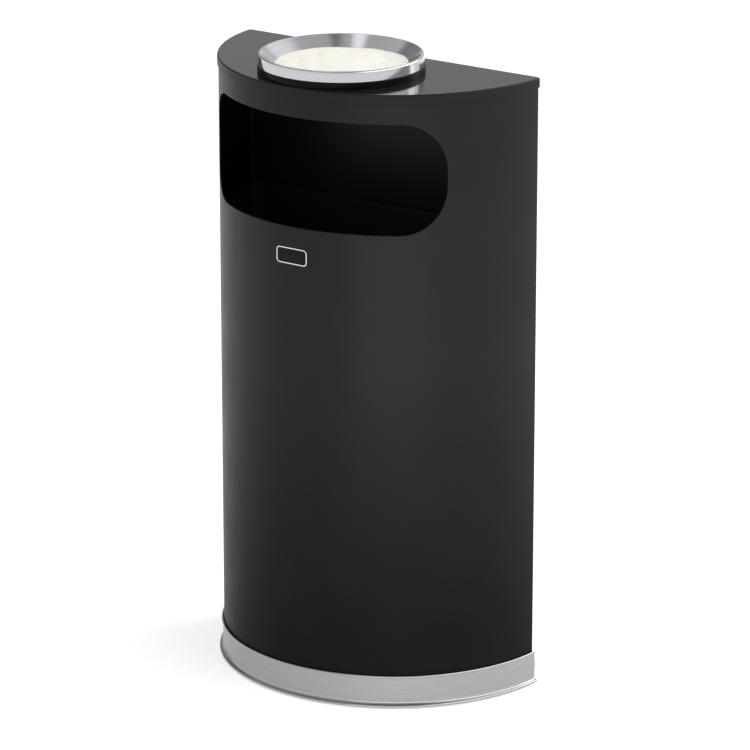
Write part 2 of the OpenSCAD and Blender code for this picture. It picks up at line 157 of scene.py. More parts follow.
def finish_mesh(mesh):
    """Merges doubles, turns the faces outwards and shades them, with sharp edges kept sharp."""
    work = bmesh.new()
    work.from_mesh(mesh)
    bmesh.ops.remove_doubles(work, verts=work.verts, dist=MERGE)
    bmesh.ops.dissolve_degenerate(work, edges=work.edges, dist=MERGE / 10)
    bmesh.ops.recalc_face_normals(work, faces=work.faces)
    work.to_mesh(mesh)
    work.free()
    mesh.shade_smooth()
    mesh.set_sharp_from_angle(angle=SHARP_ANGLE)
    mesh.update()


def new_piece(name, vertices, faces, *finishes):
    """A finished piece at the origin, with its place in its mesh."""
    mesh = bpy.data.meshes.new(name)
    mesh.from_pydata([tuple(v) for v in vertices], [], faces)
    finish_mesh(mesh)
    for finish in finishes:
        mesh.materials.append(finish)
    piece = bpy.data.objects.new(name, mesh)
    scene.collection.objects.link(piece)
    piece.modifiers.new("even_shading", "WEIGHTED_NORMAL").keep_sharp = True
    return piece


print("edges stay sharp from", round(math.degrees(SHARP_ANGLE)), "degrees")

# %% Helpers: a skin and its second finish
def loft(name, loops, *finishes, closed=False, caps=False):
    """A skin over loops; closed joins the last to the first, and caps fills the two end loops."""
    loops = np.asarray(loops)
    rows, count = loops.shape[:2]
    faces = []
    for i in range(rows if closed else rows - 1):
        a, b = i * count, (i + 1) % rows * count
        faces += [(a + j, a + (j + 1) % count, b + (j + 1) % count, b + j) for j in range(count)]
    if caps:
        faces += [tuple(range(count)), tuple(range((rows - 1) * count, rows * count))]
    return new_piece(name, loops.reshape(-1, 3), faces, *finishes)


def repaint(piece, test):
    """Gives a piece's second finish to the faces that pass a test."""
    for face in piece.data.polygons:
        face.material_index = int(test(face))


print("skin helpers:", [f.__name__ for f in (loft, repaint)])

# %% Helpers: circles and stacks
def at_height(plan, z):
    """Rows of X and Y as points at one height."""
    return np.column_stack([plan, np.full(len(plan), z)])


def spokes(turn):
    """Unit vectors at these angles, as rows of X and Y."""
    return np.column_stack([np.cos(turn), np.sin(turn)])


def circles(section, centre, segments):
    """The loops of a lathe: each point (radius, height) of the section turned round centre."""
    around = spokes(np.linspace(0, math.tau, segments, endpoint=False))
    return np.array([at_height(np.array(centre) + r * around, z) for r, z in section])


def stacked(section, corner_of):
    """The loops of a stacked piece: each point (inset, height) as a half-round outline."""
    return np.array([at_height(half_round(inset, corner_of(inset)), z) for inset, z in section])


print("a short tube's loops, points and axes:", circles([(1, 0), (1, 2)], (0, 0), 12).shape)

# %% [markdown]
# ## Node trees for what repeats
# Rivets, feet, screws and nuts are one shape at several places. A small Geometry Nodes tree copies
# a shape to every vertex of a mesh of places, and the result is then turned into a plain mesh, so
# that it can be exported. The sizes that matter are inputs of the tree.

# %% Helpers: nodes and links
def fill(node, values):
    """Sets inputs of a node, each by its name or number."""
    for entry, value in values.items():
        node.inputs[entry].default_value = value
    return node


def add_node(tree, kind, values=None, **settings):
    """A new node with its settings and the values of its inputs."""
    node = tree.nodes.new(kind)
    for label, setting in settings.items():
        setattr(node, label, setting)
    return fill(node, values or {})


def link(source, target):
    """Links an output to an input, in the tree that holds them."""
    target.id_data.links.new(source, target)


def wire(*links):
    """Makes links, each from a node's output to another node's input."""
    for source, output, target, entry in links:
        link(source.outputs[output], target.inputs[entry])


def through(source, kind, entry, output, values=None, **settings):
    """Leads a value through a new node, in at one of its inputs and out at one of its outputs."""
    node = add_node(source.id_data, kind, values, **settings)
    link(source, node.inputs[entry])
    return node.outputs[output]


print("node helpers:", [f.__name__ for f in (fill, add_node, link, wire, through)])

# %% Helpers: trees that grow a mesh
def new_tree(name, inputs):
    """A Geometry Nodes tree with geometry in and out, and named inputs of their kinds."""
    tree = bpy.data.node_groups.new(name, "GeometryNodeTree")
    for label, kind in {"Geometry": "Geometry", **inputs}.items():
        tree.interface.new_socket(label, in_out="INPUT", socket_type="NodeSocket" + kind)
    tree.interface.new_socket("Geometry", in_out="OUTPUT", socket_type="NodeSocketGeometry")
    return tree, tree.nodes.new("NodeGroupInput"), tree.nodes.new("NodeGroupOutput")


def end_tree(group_in, group_out, geometry):
    """Ends a tree in Realize Instances and Set Material."""
    whole = through(geometry, "GeometryNodeRealizeInstances", "Geometry", "Geometry")
    painted = through(whole, "GeometryNodeSetMaterial", "Geometry", "Geometry")
    link(group_in.outputs["Finish"], painted.node.inputs["Material"])
    link(painted, group_out.inputs["Geometry"])


def grow(name, tree, values, vertices=((0, 0, 0),), faces=()):
    """A plain mesh from a tree that works on these vertices, with its inputs set by identifier."""
    mesh = bpy.data.meshes.new(name)
    mesh.from_pydata([tuple(v) for v in vertices], [], list(faces))
    piece = bpy.data.objects.new(name, mesh)
    modifier = piece.modifiers.new(tree.name, "NODES")
    modifier.node_group = tree
    for item in tree.interface.items_tree:
        if item.in_out == "INPUT" and item.name in values:
            modifier[item.identifier] = values[item.name]
    scene.collection.objects.link(piece)
    evaluated = piece.evaluated_get(bpy.context.evaluated_depsgraph_get())
    grown = bpy.data.meshes.new_from_object(evaluated)
    piece.modifiers.remove(modifier)
    piece.data = grown
    grown.name = name
    return piece


print("tree helpers:", [f.__name__ for f in (new_tree, end_tree, grow)])

# %% A tree that copies a shape to places
copies_tree, copies_in, copies_out = new_tree(
    "copies_at_places", {"Shape": "Object", "Turn": "Vector", "Finish": "Material"})
shape = through(copies_in.outputs["Shape"], "GeometryNodeObjectInfo", "Object", "Geometry")
turned = through(copies_in.outputs["Turn"], "FunctionNodeEulerToRotation", "Euler", "Rotation")
copied = through(
    copies_in.outputs["Geometry"], "GeometryNodeInstanceOnPoints", "Points", "Instances")
link(shape, copied.node.inputs["Instance"])
link(turned, copied.node.inputs["Rotation"])
end_tree(copies_in, copies_out, copied)


def copies(name, shape, places, finish, turn=(0, 0, 0)):
    """One piece made of a shape at every place, all turned alike."""
    piece = grow(name, copies_tree, {"Shape": shape, "Turn": turn, "Finish": finish}, places)
    finish_mesh(piece.data)
    return piece


def drop(*shapes):
    """Removes shapes that were only there to be copied."""
    for shape in shapes:
        bpy.data.objects.remove(shape)


print("trees:", [t.name for t in bpy.data.node_groups])

# %% [markdown]
# ## Effects that several finishes share
# Powder coat, moulded plastic and rubber all have a fine skin of bumps, and drawn or spun metal has
# fine lines in one direction. Each effect is a shader group with named inputs, and every finish
# that has it sets its own scale. The shader itself stays in the material.

# %% Shader groups: skin and lines
def noise_group(name, layers):
    """A shader group of noises: each has an output, its scale's name and value, and its detail."""
    group = bpy.data.node_groups.new(name, "ShaderNodeTree")
    new_socket = group.interface.new_socket
    new_socket("Vector", in_out="INPUT", socket_type="NodeSocketVector")
    for output, entry, scale, detail in layers:
        new_socket(entry, in_out="INPUT", socket_type="NodeSocketFloat").default_value = scale
        new_socket(output, in_out="OUTPUT", socket_type="NodeSocketFloat")
    group_in, group_out = (group.nodes.new("NodeGroup" + side) for side in ("Input", "Output"))
    for output, entry, scale, detail in layers:
        pattern = through(group_in.outputs["Vector"], "ShaderNodeTexNoise", "Vector", "Fac",
                          {"Detail": detail})
        link(group_in.outputs[entry], pattern.node.inputs["Scale"])
        link(pattern, group_out.inputs[output])
    return group


skin_group = noise_group("fine_skin", [("Height", "Bumps", 900, 2), ("Cloud", "Clouds", 14, 3)])
line_group = noise_group("drawn_lines", [("Lines", "Fine", 1, 4)])
print("shader groups:", skin_group.name, line_group.name)

# %% [markdown]
# ## The finishes
# A finish starts as a plain Principled shader with its constant values. Then the shared effects
# vary colour, roughness and height over the surface: clouds in the paint's gloss, lines along the
# ring, turning marks round the pan, speckles in the sand.

# %% Helpers: a plain finish and its coordinates
def grey(level, blue=1.0):
    """A neutral colour, with its blue part a little up or down."""
    return (level, level, level * blue)


def opened(material):
    """A finish's shader and its Object coordinates."""
    nodes = material.node_tree.nodes
    return nodes["Principled BSDF"], nodes["Texture Coordinate"].outputs["Object"]


def new_finish(name, colour, roughness, metallic=0.0, specular=0.5):
    """A material with its constant values, and what opened gives."""
    material = bpy.data.materials.new(name)
    material.use_nodes = True
    material.node_tree.nodes.new("ShaderNodeTexCoord")
    shader, place = opened(material)
    fill(shader, {"Base Color": (*colour, 1), "Roughness": roughness, "Metallic": metallic,
                  "Specular IOR Level": specular})
    return material, shader, place


def effect(group, vector, output, **values):
    """An output of a shared effect, placed in a material with its own values."""
    return through(vector, "ShaderNodeGroup", "Vector", output, values, node_tree=group)


def stretch(vector, scale, location=(0, 0, 0)):
    """Coordinates moved by location and then scaled along the axes."""
    shift = [a * b for a, b in zip(location, scale)]
    return through(vector, "ShaderNodeMapping", "Vector", "Vector",
                   {"Location": shift, "Scale": scale})


def height_of(vector):
    """The height in coordinates."""
    return through(vector, "ShaderNodeSeparateXYZ", "Vector", "Z")


print("a neutral grey:", grey(0.5))

# %% Helpers: masks that move a shader's values
def vary(value, low, high, socket, bottom=0.3, top=0.7):
    """Lets a mask that runs about from bottom to top move a shader's value from low to high."""
    limits = {"From Min": bottom, "From Max": top, "To Min": low, "To Max": high}
    link(through(value, "ShaderNodeMapRange", "Value", "Result", limits), socket)


def add_ramp(value, stops, socket):
    """Lets a value choose a colour on a ramp through stops of position and colour."""
    colour = through(value, "ShaderNodeValToRGB", "Fac", "Color")
    elements = colour.node.color_ramp.elements
    while len(elements) < len(stops):
        elements.new(0.5)
    for element, (position, shade) in zip(elements, stops):
        element.position = position
        element.color = (*shade, 1)
    link(colour, socket)


def tint(value, first, second, shader, bottom=0.3, top=0.7):
    """Lets a mask mix two colours into a shader's base colour."""
    add_ramp(value, ((bottom, first), (top, second)), shader.inputs["Base Color"])


def raise_by(value, distance, strength, shader):
    """Bump from a height mask."""
    size = {"Distance": distance, "Strength": strength}
    link(through(value, "ShaderNodeBump", "Height", "Normal", size), shader.inputs["Normal"])


print("masks that shaders take:", [f.__name__ for f in (vary, tint, raise_by)])

# %% [markdown]
# The powder coat, the mouldings and the rubber are all near black, and only their gloss and grain
# tell them apart. So one function makes them all, from a table with a row for each finish.

# %% Painted, moulded and rubber finishes
SKIN_STRENGTH = 0.35
CLOUD_DARK, CLOUD_LIGHT = 0.88, 1.12


def skinned(name, level, roughness, gloss_range, bumps, depth, specular, blue=1.06):
    """A dark coat or moulding: clouded gloss and colour, and a fine skin of bumps."""
    material, shader, place = new_finish(name, grey(level, blue), roughness, specular=specular)
    cloud = effect(skin_group, place, "Cloud", Bumps=bumps)
    vary(cloud, roughness - gloss_range, roughness + gloss_range, shader.inputs["Roughness"])
    tint(cloud, grey(level * CLOUD_DARK, blue), grey(level * CLOUD_LIGHT, blue), shader)
    raise_by(cloud.node.outputs["Height"], depth * MM, SKIN_STRENGTH, shader)
    return material


# Each row: name, grey level, roughness and its range, bumps to a metre, depth in mm, specular.
COATS = (
    ("shell_paint", 0.008, 0.4, 0.04, 1100, 0.05, 0.045),
    # The next row is the shell paint made darker and duller for the shell's inner faces and top
    # hem: painted shade inside the bin.
    ("inner_painted_shade", 0.004, 0.5, 0.05, 900, 0.05, 0.1),
    ("lid_gloss", 0.01, 0.1, 0.015, 900, 0.01, 0.15),
    ("rivet_paint", 0.01, 0.38, 0.05, 1400, 0.03, 0.3),
    ("seat_moulding", 0.003, 0.25, 0.05, 700, 0.02, 0.08),
    ("badge_field", 0.005, 0.22, 0.04, 1500, 0.01, 0.12),
    ("liner_moulding", 0.006, 0.6, 0.06, 600, 0.08, 0.15),
    ("foot_moulding", 0.016, 0.8, 0.08, 800, 0.1, 0.3, 1.0),
)
(shell_paint, inner_painted_shade, lid_gloss, rivet_paint, seat_moulding, badge_field, liner_moulding,
 foot_moulding) = (skinned(*row) for row in COATS)
print("dark finishes:", [row[0] for row in COATS])

# %% [markdown]
# The shell's clear coat is full above and thins out towards the floor, so the lower shell mirrors
# less and looks darker: painted shade towards the floor. So the weight of the clear coat follows
# the height.

# %% Painted shade: the shell's coat thins towards the floor
COAT_SHADED_BELOW, COAT_UNSHADED_ABOVE = 80 * MM, 450 * MM
COAT_WEIGHT, COAT_ROUGHNESS = 0.27, 0.4

coat_shader, coat_place = opened(shell_paint)
# The coat weight falls to nothing near the floor: a painted shade that darkens the lower shell.
vary(height_of(coat_place), 0, COAT_WEIGHT, coat_shader.inputs["Coat Weight"],
     COAT_SHADED_BELOW, COAT_UNSHADED_ABOVE)
fill(coat_shader, {"Coat Roughness": COAT_ROUGHNESS})
print("coat is whole above, mm:", round(COAT_UNSHADED_ABOVE / MM))

# %% [markdown]
# Bare metal keeps the marks of its tool: the ring was rubbed along its length, and the pan was
# turned on a lathe. Anisotropic shading could streak the light the same way, but no baked texture
# carries that. So one noise is stretched along the ring, and for the pan it is laid out by the
# distance from the axis.

# %% Helpers: the way that lines run
RING_LINES = (25, 25, 1500)

pan_low, pan_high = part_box("ash_pan")
pan_axis = ((pan_low.x + pan_high.x) / 2, (pan_low.y + pan_high.y) / 2)


def along_ring(place):
    """Lines that run round the foot ring: long across the floor and short in height."""
    return stretch(place, RING_LINES)


def round_pan(place):
    """Turning marks: distance from the pan's axis and height, with no direction round it."""
    flat = stretch(place, (1, 1, 0), (-pan_axis[0], -pan_axis[1], 0))
    radius = through(flat, "ShaderNodeVectorMath", 0, "Value", operation="LENGTH")
    joined = through(radius, "ShaderNodeCombineXYZ", "X", "Vector")
    link(height_of(place), joined.node.inputs["Y"])
    return joined


def any_way(place):
    """Even grain for small plated pieces."""
    return place


print("pan's axis, mm:", [round(v / MM, 2) for v in pan_axis])

# %% Metal finishes
LINE_STRENGTH = 0.3
LINE_DARK, LINE_LIGHT = 0.9, 1.08


def lined(name, level, roughness, gloss_range, depth, place_of, fine, blue=1.02):
    """A bare metal with lines along its working direction, which place_of stretches them to."""
    material, shader, place = new_finish(name, grey(level, blue), roughness, metallic=1.0)
    lines = effect(line_group, place_of(place), "Lines", Fine=fine)
    vary(lines, roughness - gloss_range, roughness + gloss_range, shader.inputs["Roughness"])
    tint(lines, grey(level * LINE_DARK, blue), grey(level * LINE_LIGHT, blue), shader)
    raise_by(lines, depth * MM, LINE_STRENGTH, shader)
    return material


# Each row: name, grey level, roughness and its range, depth in mm, direction, scale of the lines.
METALS = (
    ("satin_ring", 0.34, 0.36, 0.07, 0.03, along_ring, 1),
    ("spun_pan", 0.57, 0.11, 0.03, 0.008, round_pan, 900, 1.05),
    ("bright_border", 0.75, 0.25, 0.05, 0.01, any_way, 1500),
    ("zinc_plate", 0.5, 0.38, 0.08, 0.02, any_way, 900),
)
satin_ring, spun_pan, bright_border, zinc_plate = (lined(*row) for row in METALS)
print("metal finishes:", [row[0] for row in METALS])

# %% [markdown]
# The ring's bead and foot are buffed brighter and smoother than the wall between them. A mask over
# the height mixes the polished values into the lined ones.

# %% Polish on the ring's edges
BUFFED_FOOT, BUFFED_BEAD, BUFF_FADE = 8 * MM, 3 * MM, 0.5 * MM
BUFFED = {"Base Color": (*grey(0.37), 1), "Roughness": 0.14}
# A Mix node's kind, and the numbers of its two inputs and its result for that kind.
MIX_SOCKETS = {"Base Color": ("RGBA", 6, 7, 2), "Roughness": ("FLOAT", 2, 3, 0)}

ring_low, ring_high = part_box("base_ring")
ring_shader, ring_place = opened(satin_ring)
ring_height = height_of(ring_place)
edge = add_node(satin_ring.node_tree, "ShaderNodeMath", operation="MAXIMUM")
edge_ramps = ((ring_low.z + BUFFED_FOOT, 1, 0), (ring_high.z - BUFFED_BEAD, 0, 1))
for entry, (z, below, above) in zip(edge.inputs, edge_ramps):
    vary(ring_height, below, above, entry, z - BUFF_FADE, z + BUFF_FADE)
for label, polished in BUFFED.items():
    kind, first, second, result = MIX_SOCKETS[label]
    mixed = through(edge.outputs["Value"], "ShaderNodeMix", "Factor", result, {second: polished},
                    data_type=kind)
    link(ring_shader.inputs[label].links[0].from_socket, mixed.node.inputs[first])
    link(mixed, ring_shader.inputs[label])
print("buffed from, mm:", [round(z / MM, 1) for z, below, above in edge_ramps])

# %% [markdown]
# Dry sand is matt and cream, and its grains differ a little in tone. A picture of sand would blur
# or repeat, so a fine noise mixes two creams and lifts the surface. Loose grains come later.

# %% Sand finish
SAND_DARK, SAND_LIGHT = (0.95, 0.92, 0.8), (1, 0.99, 0.93)
SPECKLE_RANGE = (0.25, 0.6)
SPECKLE_DEPTH, SPECKLE_STRENGTH = 0.5 * MM, 0.5

sand_grain, sand_shader, sand_place = new_finish(
    "sand_grain", (0.88, 0.85, 0.77), 0.95, specular=0.2)
speckle = effect(skin_group, sand_place, "Height", Bumps=1300, Clouds=90)
tint(speckle, SAND_DARK, SAND_LIGHT, sand_shader, *SPECKLE_RANGE)
raise_by(speckle, SPECKLE_DEPTH, SPECKLE_STRENGTH, sand_shader)
print("sand finish:", sand_grain.name)

# %% [markdown]
# ## The front shell
# The real shell is cut flat, with the opening in it, hemmed, and then rolled. A Boolean could cut
# the opening from a rolled sheet, but it leaves long thin faces that shade badly at the corners. So
# the mesh is made the real way: a grid over the flat sheet whose columns follow the opening's
# rounded corners, with every point then rolled to the arc. Two such grids are the outer and inner
# face, and a rolled lip joins them round the opening, where the hem turns inwards.

# %% Roll a flat sheet
shell_bend_x, shell_bend_y = bend_centre(0, BACK_BEND)
shell_end = math.atan2(shell_bend_x, arc_y - shell_bend_y)
arc_run = arc_r * shell_end
bend_run = BACK_BEND * (math.pi - shell_end)


def on_shell(along, z, depth):
    """The rolled place of points on the flat sheet, at a depth behind its outer face."""
    along, z = np.broadcast_arrays(np.asarray(along, float), np.asarray(z, float))
    run = np.abs(along)
    in_arc = run <= arc_run
    bend_turn = shell_end + np.clip(run - arc_run, 0, bend_run) / BACK_BEND
    turn = np.where(in_arc, run / arc_r, bend_turn)
    radius = np.where(in_arc, arc_r, BACK_BEND) - depth
    flange = np.maximum(run - arc_run - bend_run, 0)
    x = np.where(in_arc, 0, shell_bend_x) + radius * np.sin(turn) - flange
    y = np.where(in_arc, arc_y, shell_bend_y) - radius * np.cos(turn)
    return np.stack([np.sign(along) * x, y, z], -1)


print("flat sheet's width, mm:", round(2 * (arc_run + bend_run + BACK_FLANGE) / MM, 1))

# %% Measure the opening
OPENING_W = 404 * MM
OPENING_H = 140 * MM
OPENING_Z = 622 * MM
OPENING_CORNER = 60 * MM
HEM_W = 8 * MM
HEM_R = SHEET
CORNER_STEPS = 16
MIDDLE_STEPS = 36
SIDE_STEPS = 34
BEND_STEPS = 8
FLANGE_STEPS = 3
SUPPORT = 1.2 * MM
LOW_SHARES = np.concatenate([np.linspace(0, 0.98, 14), [1]])
MID_SHARES = np.linspace(0, 1, 4)
TOP_SHARES = np.concatenate([[0], np.linspace(0.08, 1, 7)])

opening_straight = OPENING_W / 2 - OPENING_CORNER
print("straight part of the opening, mm:", round(2 * opening_straight / MM))

# %% Lay a grid round the opening
def sheet_columns(out):
    """Where the columns stand along the sheet, with the opening grown by out."""
    corner = OPENING_CORNER + out
    edge = opening_straight + corner
    half = np.concatenate([
        np.linspace(0, opening_straight, MIDDLE_STEPS + 1),
        opening_straight + corner * np.sin(np.linspace(0, math.pi / 2, CORNER_STEPS + 1)[1:]),
        [edge + SUPPORT],
        np.linspace(edge + SUPPORT, arc_run, SIDE_STEPS + 1)[1:],
        arc_run + bend_run * np.linspace(0, 1, BEND_STEPS + 1)[1:],
        arc_run + bend_run + BACK_FLANGE * np.linspace(0, 1, FLANGE_STEPS + 1)[1:],
    ])
    return np.concatenate([-half[:0:-1], half])


def opening_heights(along, out):
    """Bottom and top of the opening, grown by out, at places along the sheet."""
    corner = OPENING_CORNER + out
    past = np.clip(np.abs(along) - opening_straight, 0, corner)
    rise = corner - np.sqrt(np.maximum(corner ** 2 - past ** 2, 0))
    return OPENING_Z - out + rise, OPENING_Z + OPENING_H + out - rise


def sheet_grid(out, depth):
    """One face of the sheet as columns of points, from its bottom edge to its top edge."""
    along = sheet_columns(out)[:, None]
    bottom, top = opening_heights(along, out)
    low = shell_low.z + (bottom - shell_low.z) * LOW_SHARES
    middle = bottom + (top - bottom) * MID_SHARES[1:]
    high = top + (shell_high.z - top) * TOP_SHARES[1:]
    return on_shell(along, np.concatenate([low, middle, high], 1), depth)


outer_face, inner_face = sheet_grid(HEM_R, 0), sheet_grid(HEM_W, SHEET)
column_count, row_count = outer_face.shape[:2]
print("shell: columns", column_count, "rows", row_count)

# %% [markdown]
# The faces of the grid leave out the block of cells in the opening. The outer edge of the sheet is
# one ring of cells and the opening's edge is another, and quads between rings close both.

# %% Helpers: cells and rings of the grid
def cell(c, r, side):
    """Vertex number of a grid point on the outer face, 0, or the inner face, 1."""
    return (side * column_count + c) * row_count + r


def cells_round(first, last, low, high):
    """Column and row of each grid point round a block of the grid, in order."""
    return (
        [(c, low) for c in range(first, last)] + [(last, r) for r in range(low, high)]
        + [(c, high) for c in range(last, first, -1)] + [(first, r) for r in range(high, low, -1)]
    )


def bridged(ring, after):
    """Quads between two closed rings of vertex numbers."""
    return list(zip(ring, ring[1:] + ring[:1], after[1:] + after[:1], after))


middle_column = column_count // 2
hole_first = middle_column - MIDDLE_STEPS - CORNER_STEPS
hole_last = middle_column + MIDDLE_STEPS + CORNER_STEPS
low_row = len(LOW_SHARES) - 1
high_row = low_row + len(MID_SHARES) - 1
edge_cells = cells_round(0, column_count - 1, 0, row_count - 1)
hole_cells = cells_round(hole_first, hole_last, low_row, high_row)
print("points round the sheet:", len(edge_cells), "round the opening:", len(hole_cells))

# %% Join the shell's faces
shell_faces = []
for c in range(column_count - 1):
    for r in range(row_count - 1):
        if not (hole_first <= c < hole_last and low_row <= r < high_row):
            quad = [(c, r), (c + 1, r), (c + 1, r + 1), (c, r + 1)]
            shell_faces.append([cell(*q, 0) for q in quad])
            shell_faces.append([cell(*q, 1) for q in reversed(quad)])
shell_faces += bridged(*[[cell(*q, side) for q in edge_cells] for side in (0, 1)])
print("shell faces without the lip:", len(shell_faces))

# %% Roll the lip round the opening
LIP_STEPS = 8
INWARD = -0.5

lip_turns = np.linspace(0, math.pi, LIP_STEPS + 1)[1:]
lip_steps = [(HEM_R - HEM_R * math.sin(t), HEM_R - HEM_R * math.cos(t)) for t in lip_turns]
lip_steps.append((HEM_W, 2 * SHEET))
lips = [sheet_grid(*step)[tuple(np.transpose(hole_cells))] for step in lip_steps]
lip_rings = np.arange(len(lips) * len(hole_cells)) + 2 * column_count * row_count
outer_hole, inner_hole = [[cell(*q, side) for q in hole_cells] for side in (0, 1)]
rings = [outer_hole, *lip_rings.reshape(len(lips), -1).tolist(), inner_hole]
for ring, after in zip(rings, rings[1:]):
    shell_faces += bridged(ring, after)

shell_points = np.concatenate([outer_face.reshape(-1, 3), inner_face.reshape(-1, 3), *lips])
front_shell = new_piece("rolled_shell", shell_points, shell_faces, shell_paint, inner_painted_shade)


def faces_axis(face):
    """Whether a face of the shell looks inwards, to the axis of the arc."""
    return face.normal.dot(face.center - Vector((0, arc_y, face.center.z))) < INWARD * arc_r


# The inward faces take the darker copy of the paint: painted shade inside the shell.
repaint(front_shell, faces_axis)
print("shell faces:", len(front_shell.data.polygons))

# %% [markdown]
# The top edge of the sheet is hemmed too. Its folded ply is a strip inside the shell, which shows
# only with the lid off, so it is a simple closed strip with rounded edges.

# %% Hem of the top edge
HEM_STEPS = 150

hem_section = soften(
    rectangle((SHEET, 2 * SHEET), (shell_high.z, shell_high.z - HEM_W),
              (0.3 * MM, 0.4 * MM, 0.3 * MM, 0.3 * MM)), steps=3)
hem_along = np.linspace(-arc_run + BACK_FLANGE, arc_run - BACK_FLANGE, HEM_STEPS)
hem_points = on_shell(hem_along[:, None], hem_section[:, 1], hem_section[:, 0])
top_hem = loft("top_hem", hem_points, inner_painted_shade, caps=True)
print("top hem points:", len(top_hem.data.vertices))

# %% [markdown]
# ## The lid
# The lid is a flat sheet with its edge turned down. Every loop of its skin has as many points: some
# are half-round outlines, and the two at the hole are circles whose points lie on the same rays
# from the pan's axis, so the flat top needs no odd faces.

# %% Press the lid
LID_GAP = 0.5 * MM
LID_T = 1.2 * MM
LID_BEND = 2 * MM
LID_HOLE_R = 86 * MM
LID_LEAST_CORNER = 0.2 * MM
SKIRT_TILT = 0.6

lid_low, lid_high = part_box("lid_cover")
lid_out = LID_GAP + LID_T
lid_flat = -lid_out + 3 * LID_BEND
lid_under = lid_high.z - LID_T
lid_section = soften([
    (lid_flat, lid_high.z, 0), (-lid_out, lid_high.z, LID_BEND), (-lid_out, lid_low.z, 0.5 * MM),
    (-LID_GAP, lid_low.z, 0.4 * MM), (-LID_GAP, lid_under, LID_BEND - LID_T),
    (lid_flat, lid_under, 0),
], steps=8, closed=False)


def lid_corner(inset):
    """The radius of an outline's back corners, at an inset."""
    return BACK_BEND - inset if inset < BACK_BEND else LID_LEAST_CORNER


lid_loops = stacked(lid_section, lid_corner)
rays = unit(lid_loops[0][:, :2] - np.array(pan_axis))
hole = np.array(pan_axis) + rays * LID_HOLE_R
hole_loops = [at_height(hole, z) for z in (lid_under, lid_high.z)]
lid_skin = np.concatenate([lid_loops, hole_loops])
lid = loft("pressed_lid", lid_skin, lid_gloss, shell_paint, closed=True)
repaint(lid, lambda face: abs(face.normal.z) < SKIRT_TILT)
print("lid faces:", len(lid.data.polygons))

# %% [markdown]
# ## Seat ring, ash pan and sand
# These three stand round one axis, so each starts as a section that is turned. A Screw modifier
# could turn it, but the sand has to be moved point by point afterwards, and one way serves all
# three. The seat is a plain moulded ring with soft edges.

# %% Turn the seat ring
SEAT_W = 9 * MM
TURN_STEPS = 192

seat_low, seat_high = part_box("seat_ring")
seat_r = (seat_high.x - seat_low.x) / 2
seat_section = soften([
    (seat_r, seat_low.z, 0.4 * MM), (seat_r, seat_high.z, 1 * MM),
    (seat_r - SEAT_W, seat_high.z, 0.6 * MM), (seat_r - SEAT_W, seat_low.z, 0.4 * MM),
], steps=5)
seat_loops = circles(seat_section, pan_axis, TURN_STEPS)
seat_ring = loft("seat_ring_moulding", seat_loops, seat_moulding, closed=True)
print("seat ring's radius, mm:", round(seat_r / MM, 2))

# %% [markdown]
# The pan is spun from one thin sheet, with a well, a funnel, a rolled rim and a skirt. A Solidify
# modifier could give a surface its thickness. Here the line of the section is thickened to both
# sides before it is turned, so the sheet stays even through the tight roll of the rim.

# %% Spin the pan
PAN_T = 1.2 * MM
PAN_ROLL = 1.6 * MM
PAN_RIM_R = 102.1 * MM
PAN_RIM_INSET = 0.1 * MM
PAN_RIM_RISE = 1.02 * MM
PAN_WELL_R = 82.2 * MM
PAN_WELL_H = 7 * MM
PAN_CORNER = 8 * MM
PAN_SHOULDER = 2.5 * MM
PAN_CLEAR = 0.2 * MM


def thicken(line, thickness):
    """The closed section of a sheet along a line: out on one side and back on the other."""
    along = unit(np.gradient(line, axis=0))
    side = np.stack([-along[:, 1], along[:, 0]], 1) * thickness / 2
    return np.concatenate([line + side, (line - side)[::-1]])


skirt_r = (pan_high.x - pan_low.x) / 2
half_t = PAN_T / 2
pan_middle = soften([
    (0, pan_low.z + half_t, 0), (PAN_WELL_R + half_t, pan_low.z + half_t, PAN_CORNER + half_t),
    (PAN_WELL_R + half_t, lid_high.z + PAN_WELL_H, PAN_SHOULDER),
    (PAN_RIM_R - PAN_RIM_INSET, pan_high.z + PAN_RIM_RISE, PAN_ROLL),
    (skirt_r - half_t, seat_high.z + PAN_CLEAR, 0),
], steps=10, closed=False)
pan = loft("spun_ash_pan", circles(thicken(pan_middle, PAN_T), pan_axis, TURN_STEPS), spun_pan)
pan_top = max(v.co.z for v in pan.data.vertices)
print("pan top, mm:", round(pan_top / MM, 2), "CAD pan top, mm:", round(pan_high.z / MM, 2))

# %% [markdown]
# The sand lies as a low mound with soft lumps, and its edge creeps up the funnel here and there. It
# could be sculpted by hand, but noise at each point does the same every time the script runs.

# %% Heap the sand
SAND_EDGE_R = 83.2 * MM
SAND_RISE = 1 * MM
SAND_LUMPS, LUMP_SCALE = 0.9 * MM, 55
SAND_RIPPLES, RIPPLE_SCALE = 0.35 * MM, 240
SAND_REACH, REACH_SCALE, REACH_SHARE = 2.8 * MM, 1.7, 0.5
LUMPS_AT_EDGE, LUMPS_GROW = 0.15, 3
SAND_FOOT_IN = 3 * MM
SAND_RINGS = 40
SAND_SEED = 4

sand_low, sand_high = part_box("sand")
sand_edge_z = lid_high.z + PAN_WELL_H + SAND_RISE
sand_mound = sand_high.z - sand_edge_z - SAND_RIPPLES
funnel_slope = (pan_high.z - lid_high.z - PAN_WELL_H) / (PAN_RIM_R - PAN_WELL_R)


def reach_up_funnel(point):
    """How far beyond the well the loose sand lies on the funnel, on this side of the pan."""
    side = Vector((point[0] - pan_axis[0], point[1] - pan_axis[1], 0)).normalized()
    spread = REACH_SHARE + noise.noise(side * REACH_SCALE + Vector((0, 0, SAND_SEED)))
    return SAND_REACH * max(0, spread)


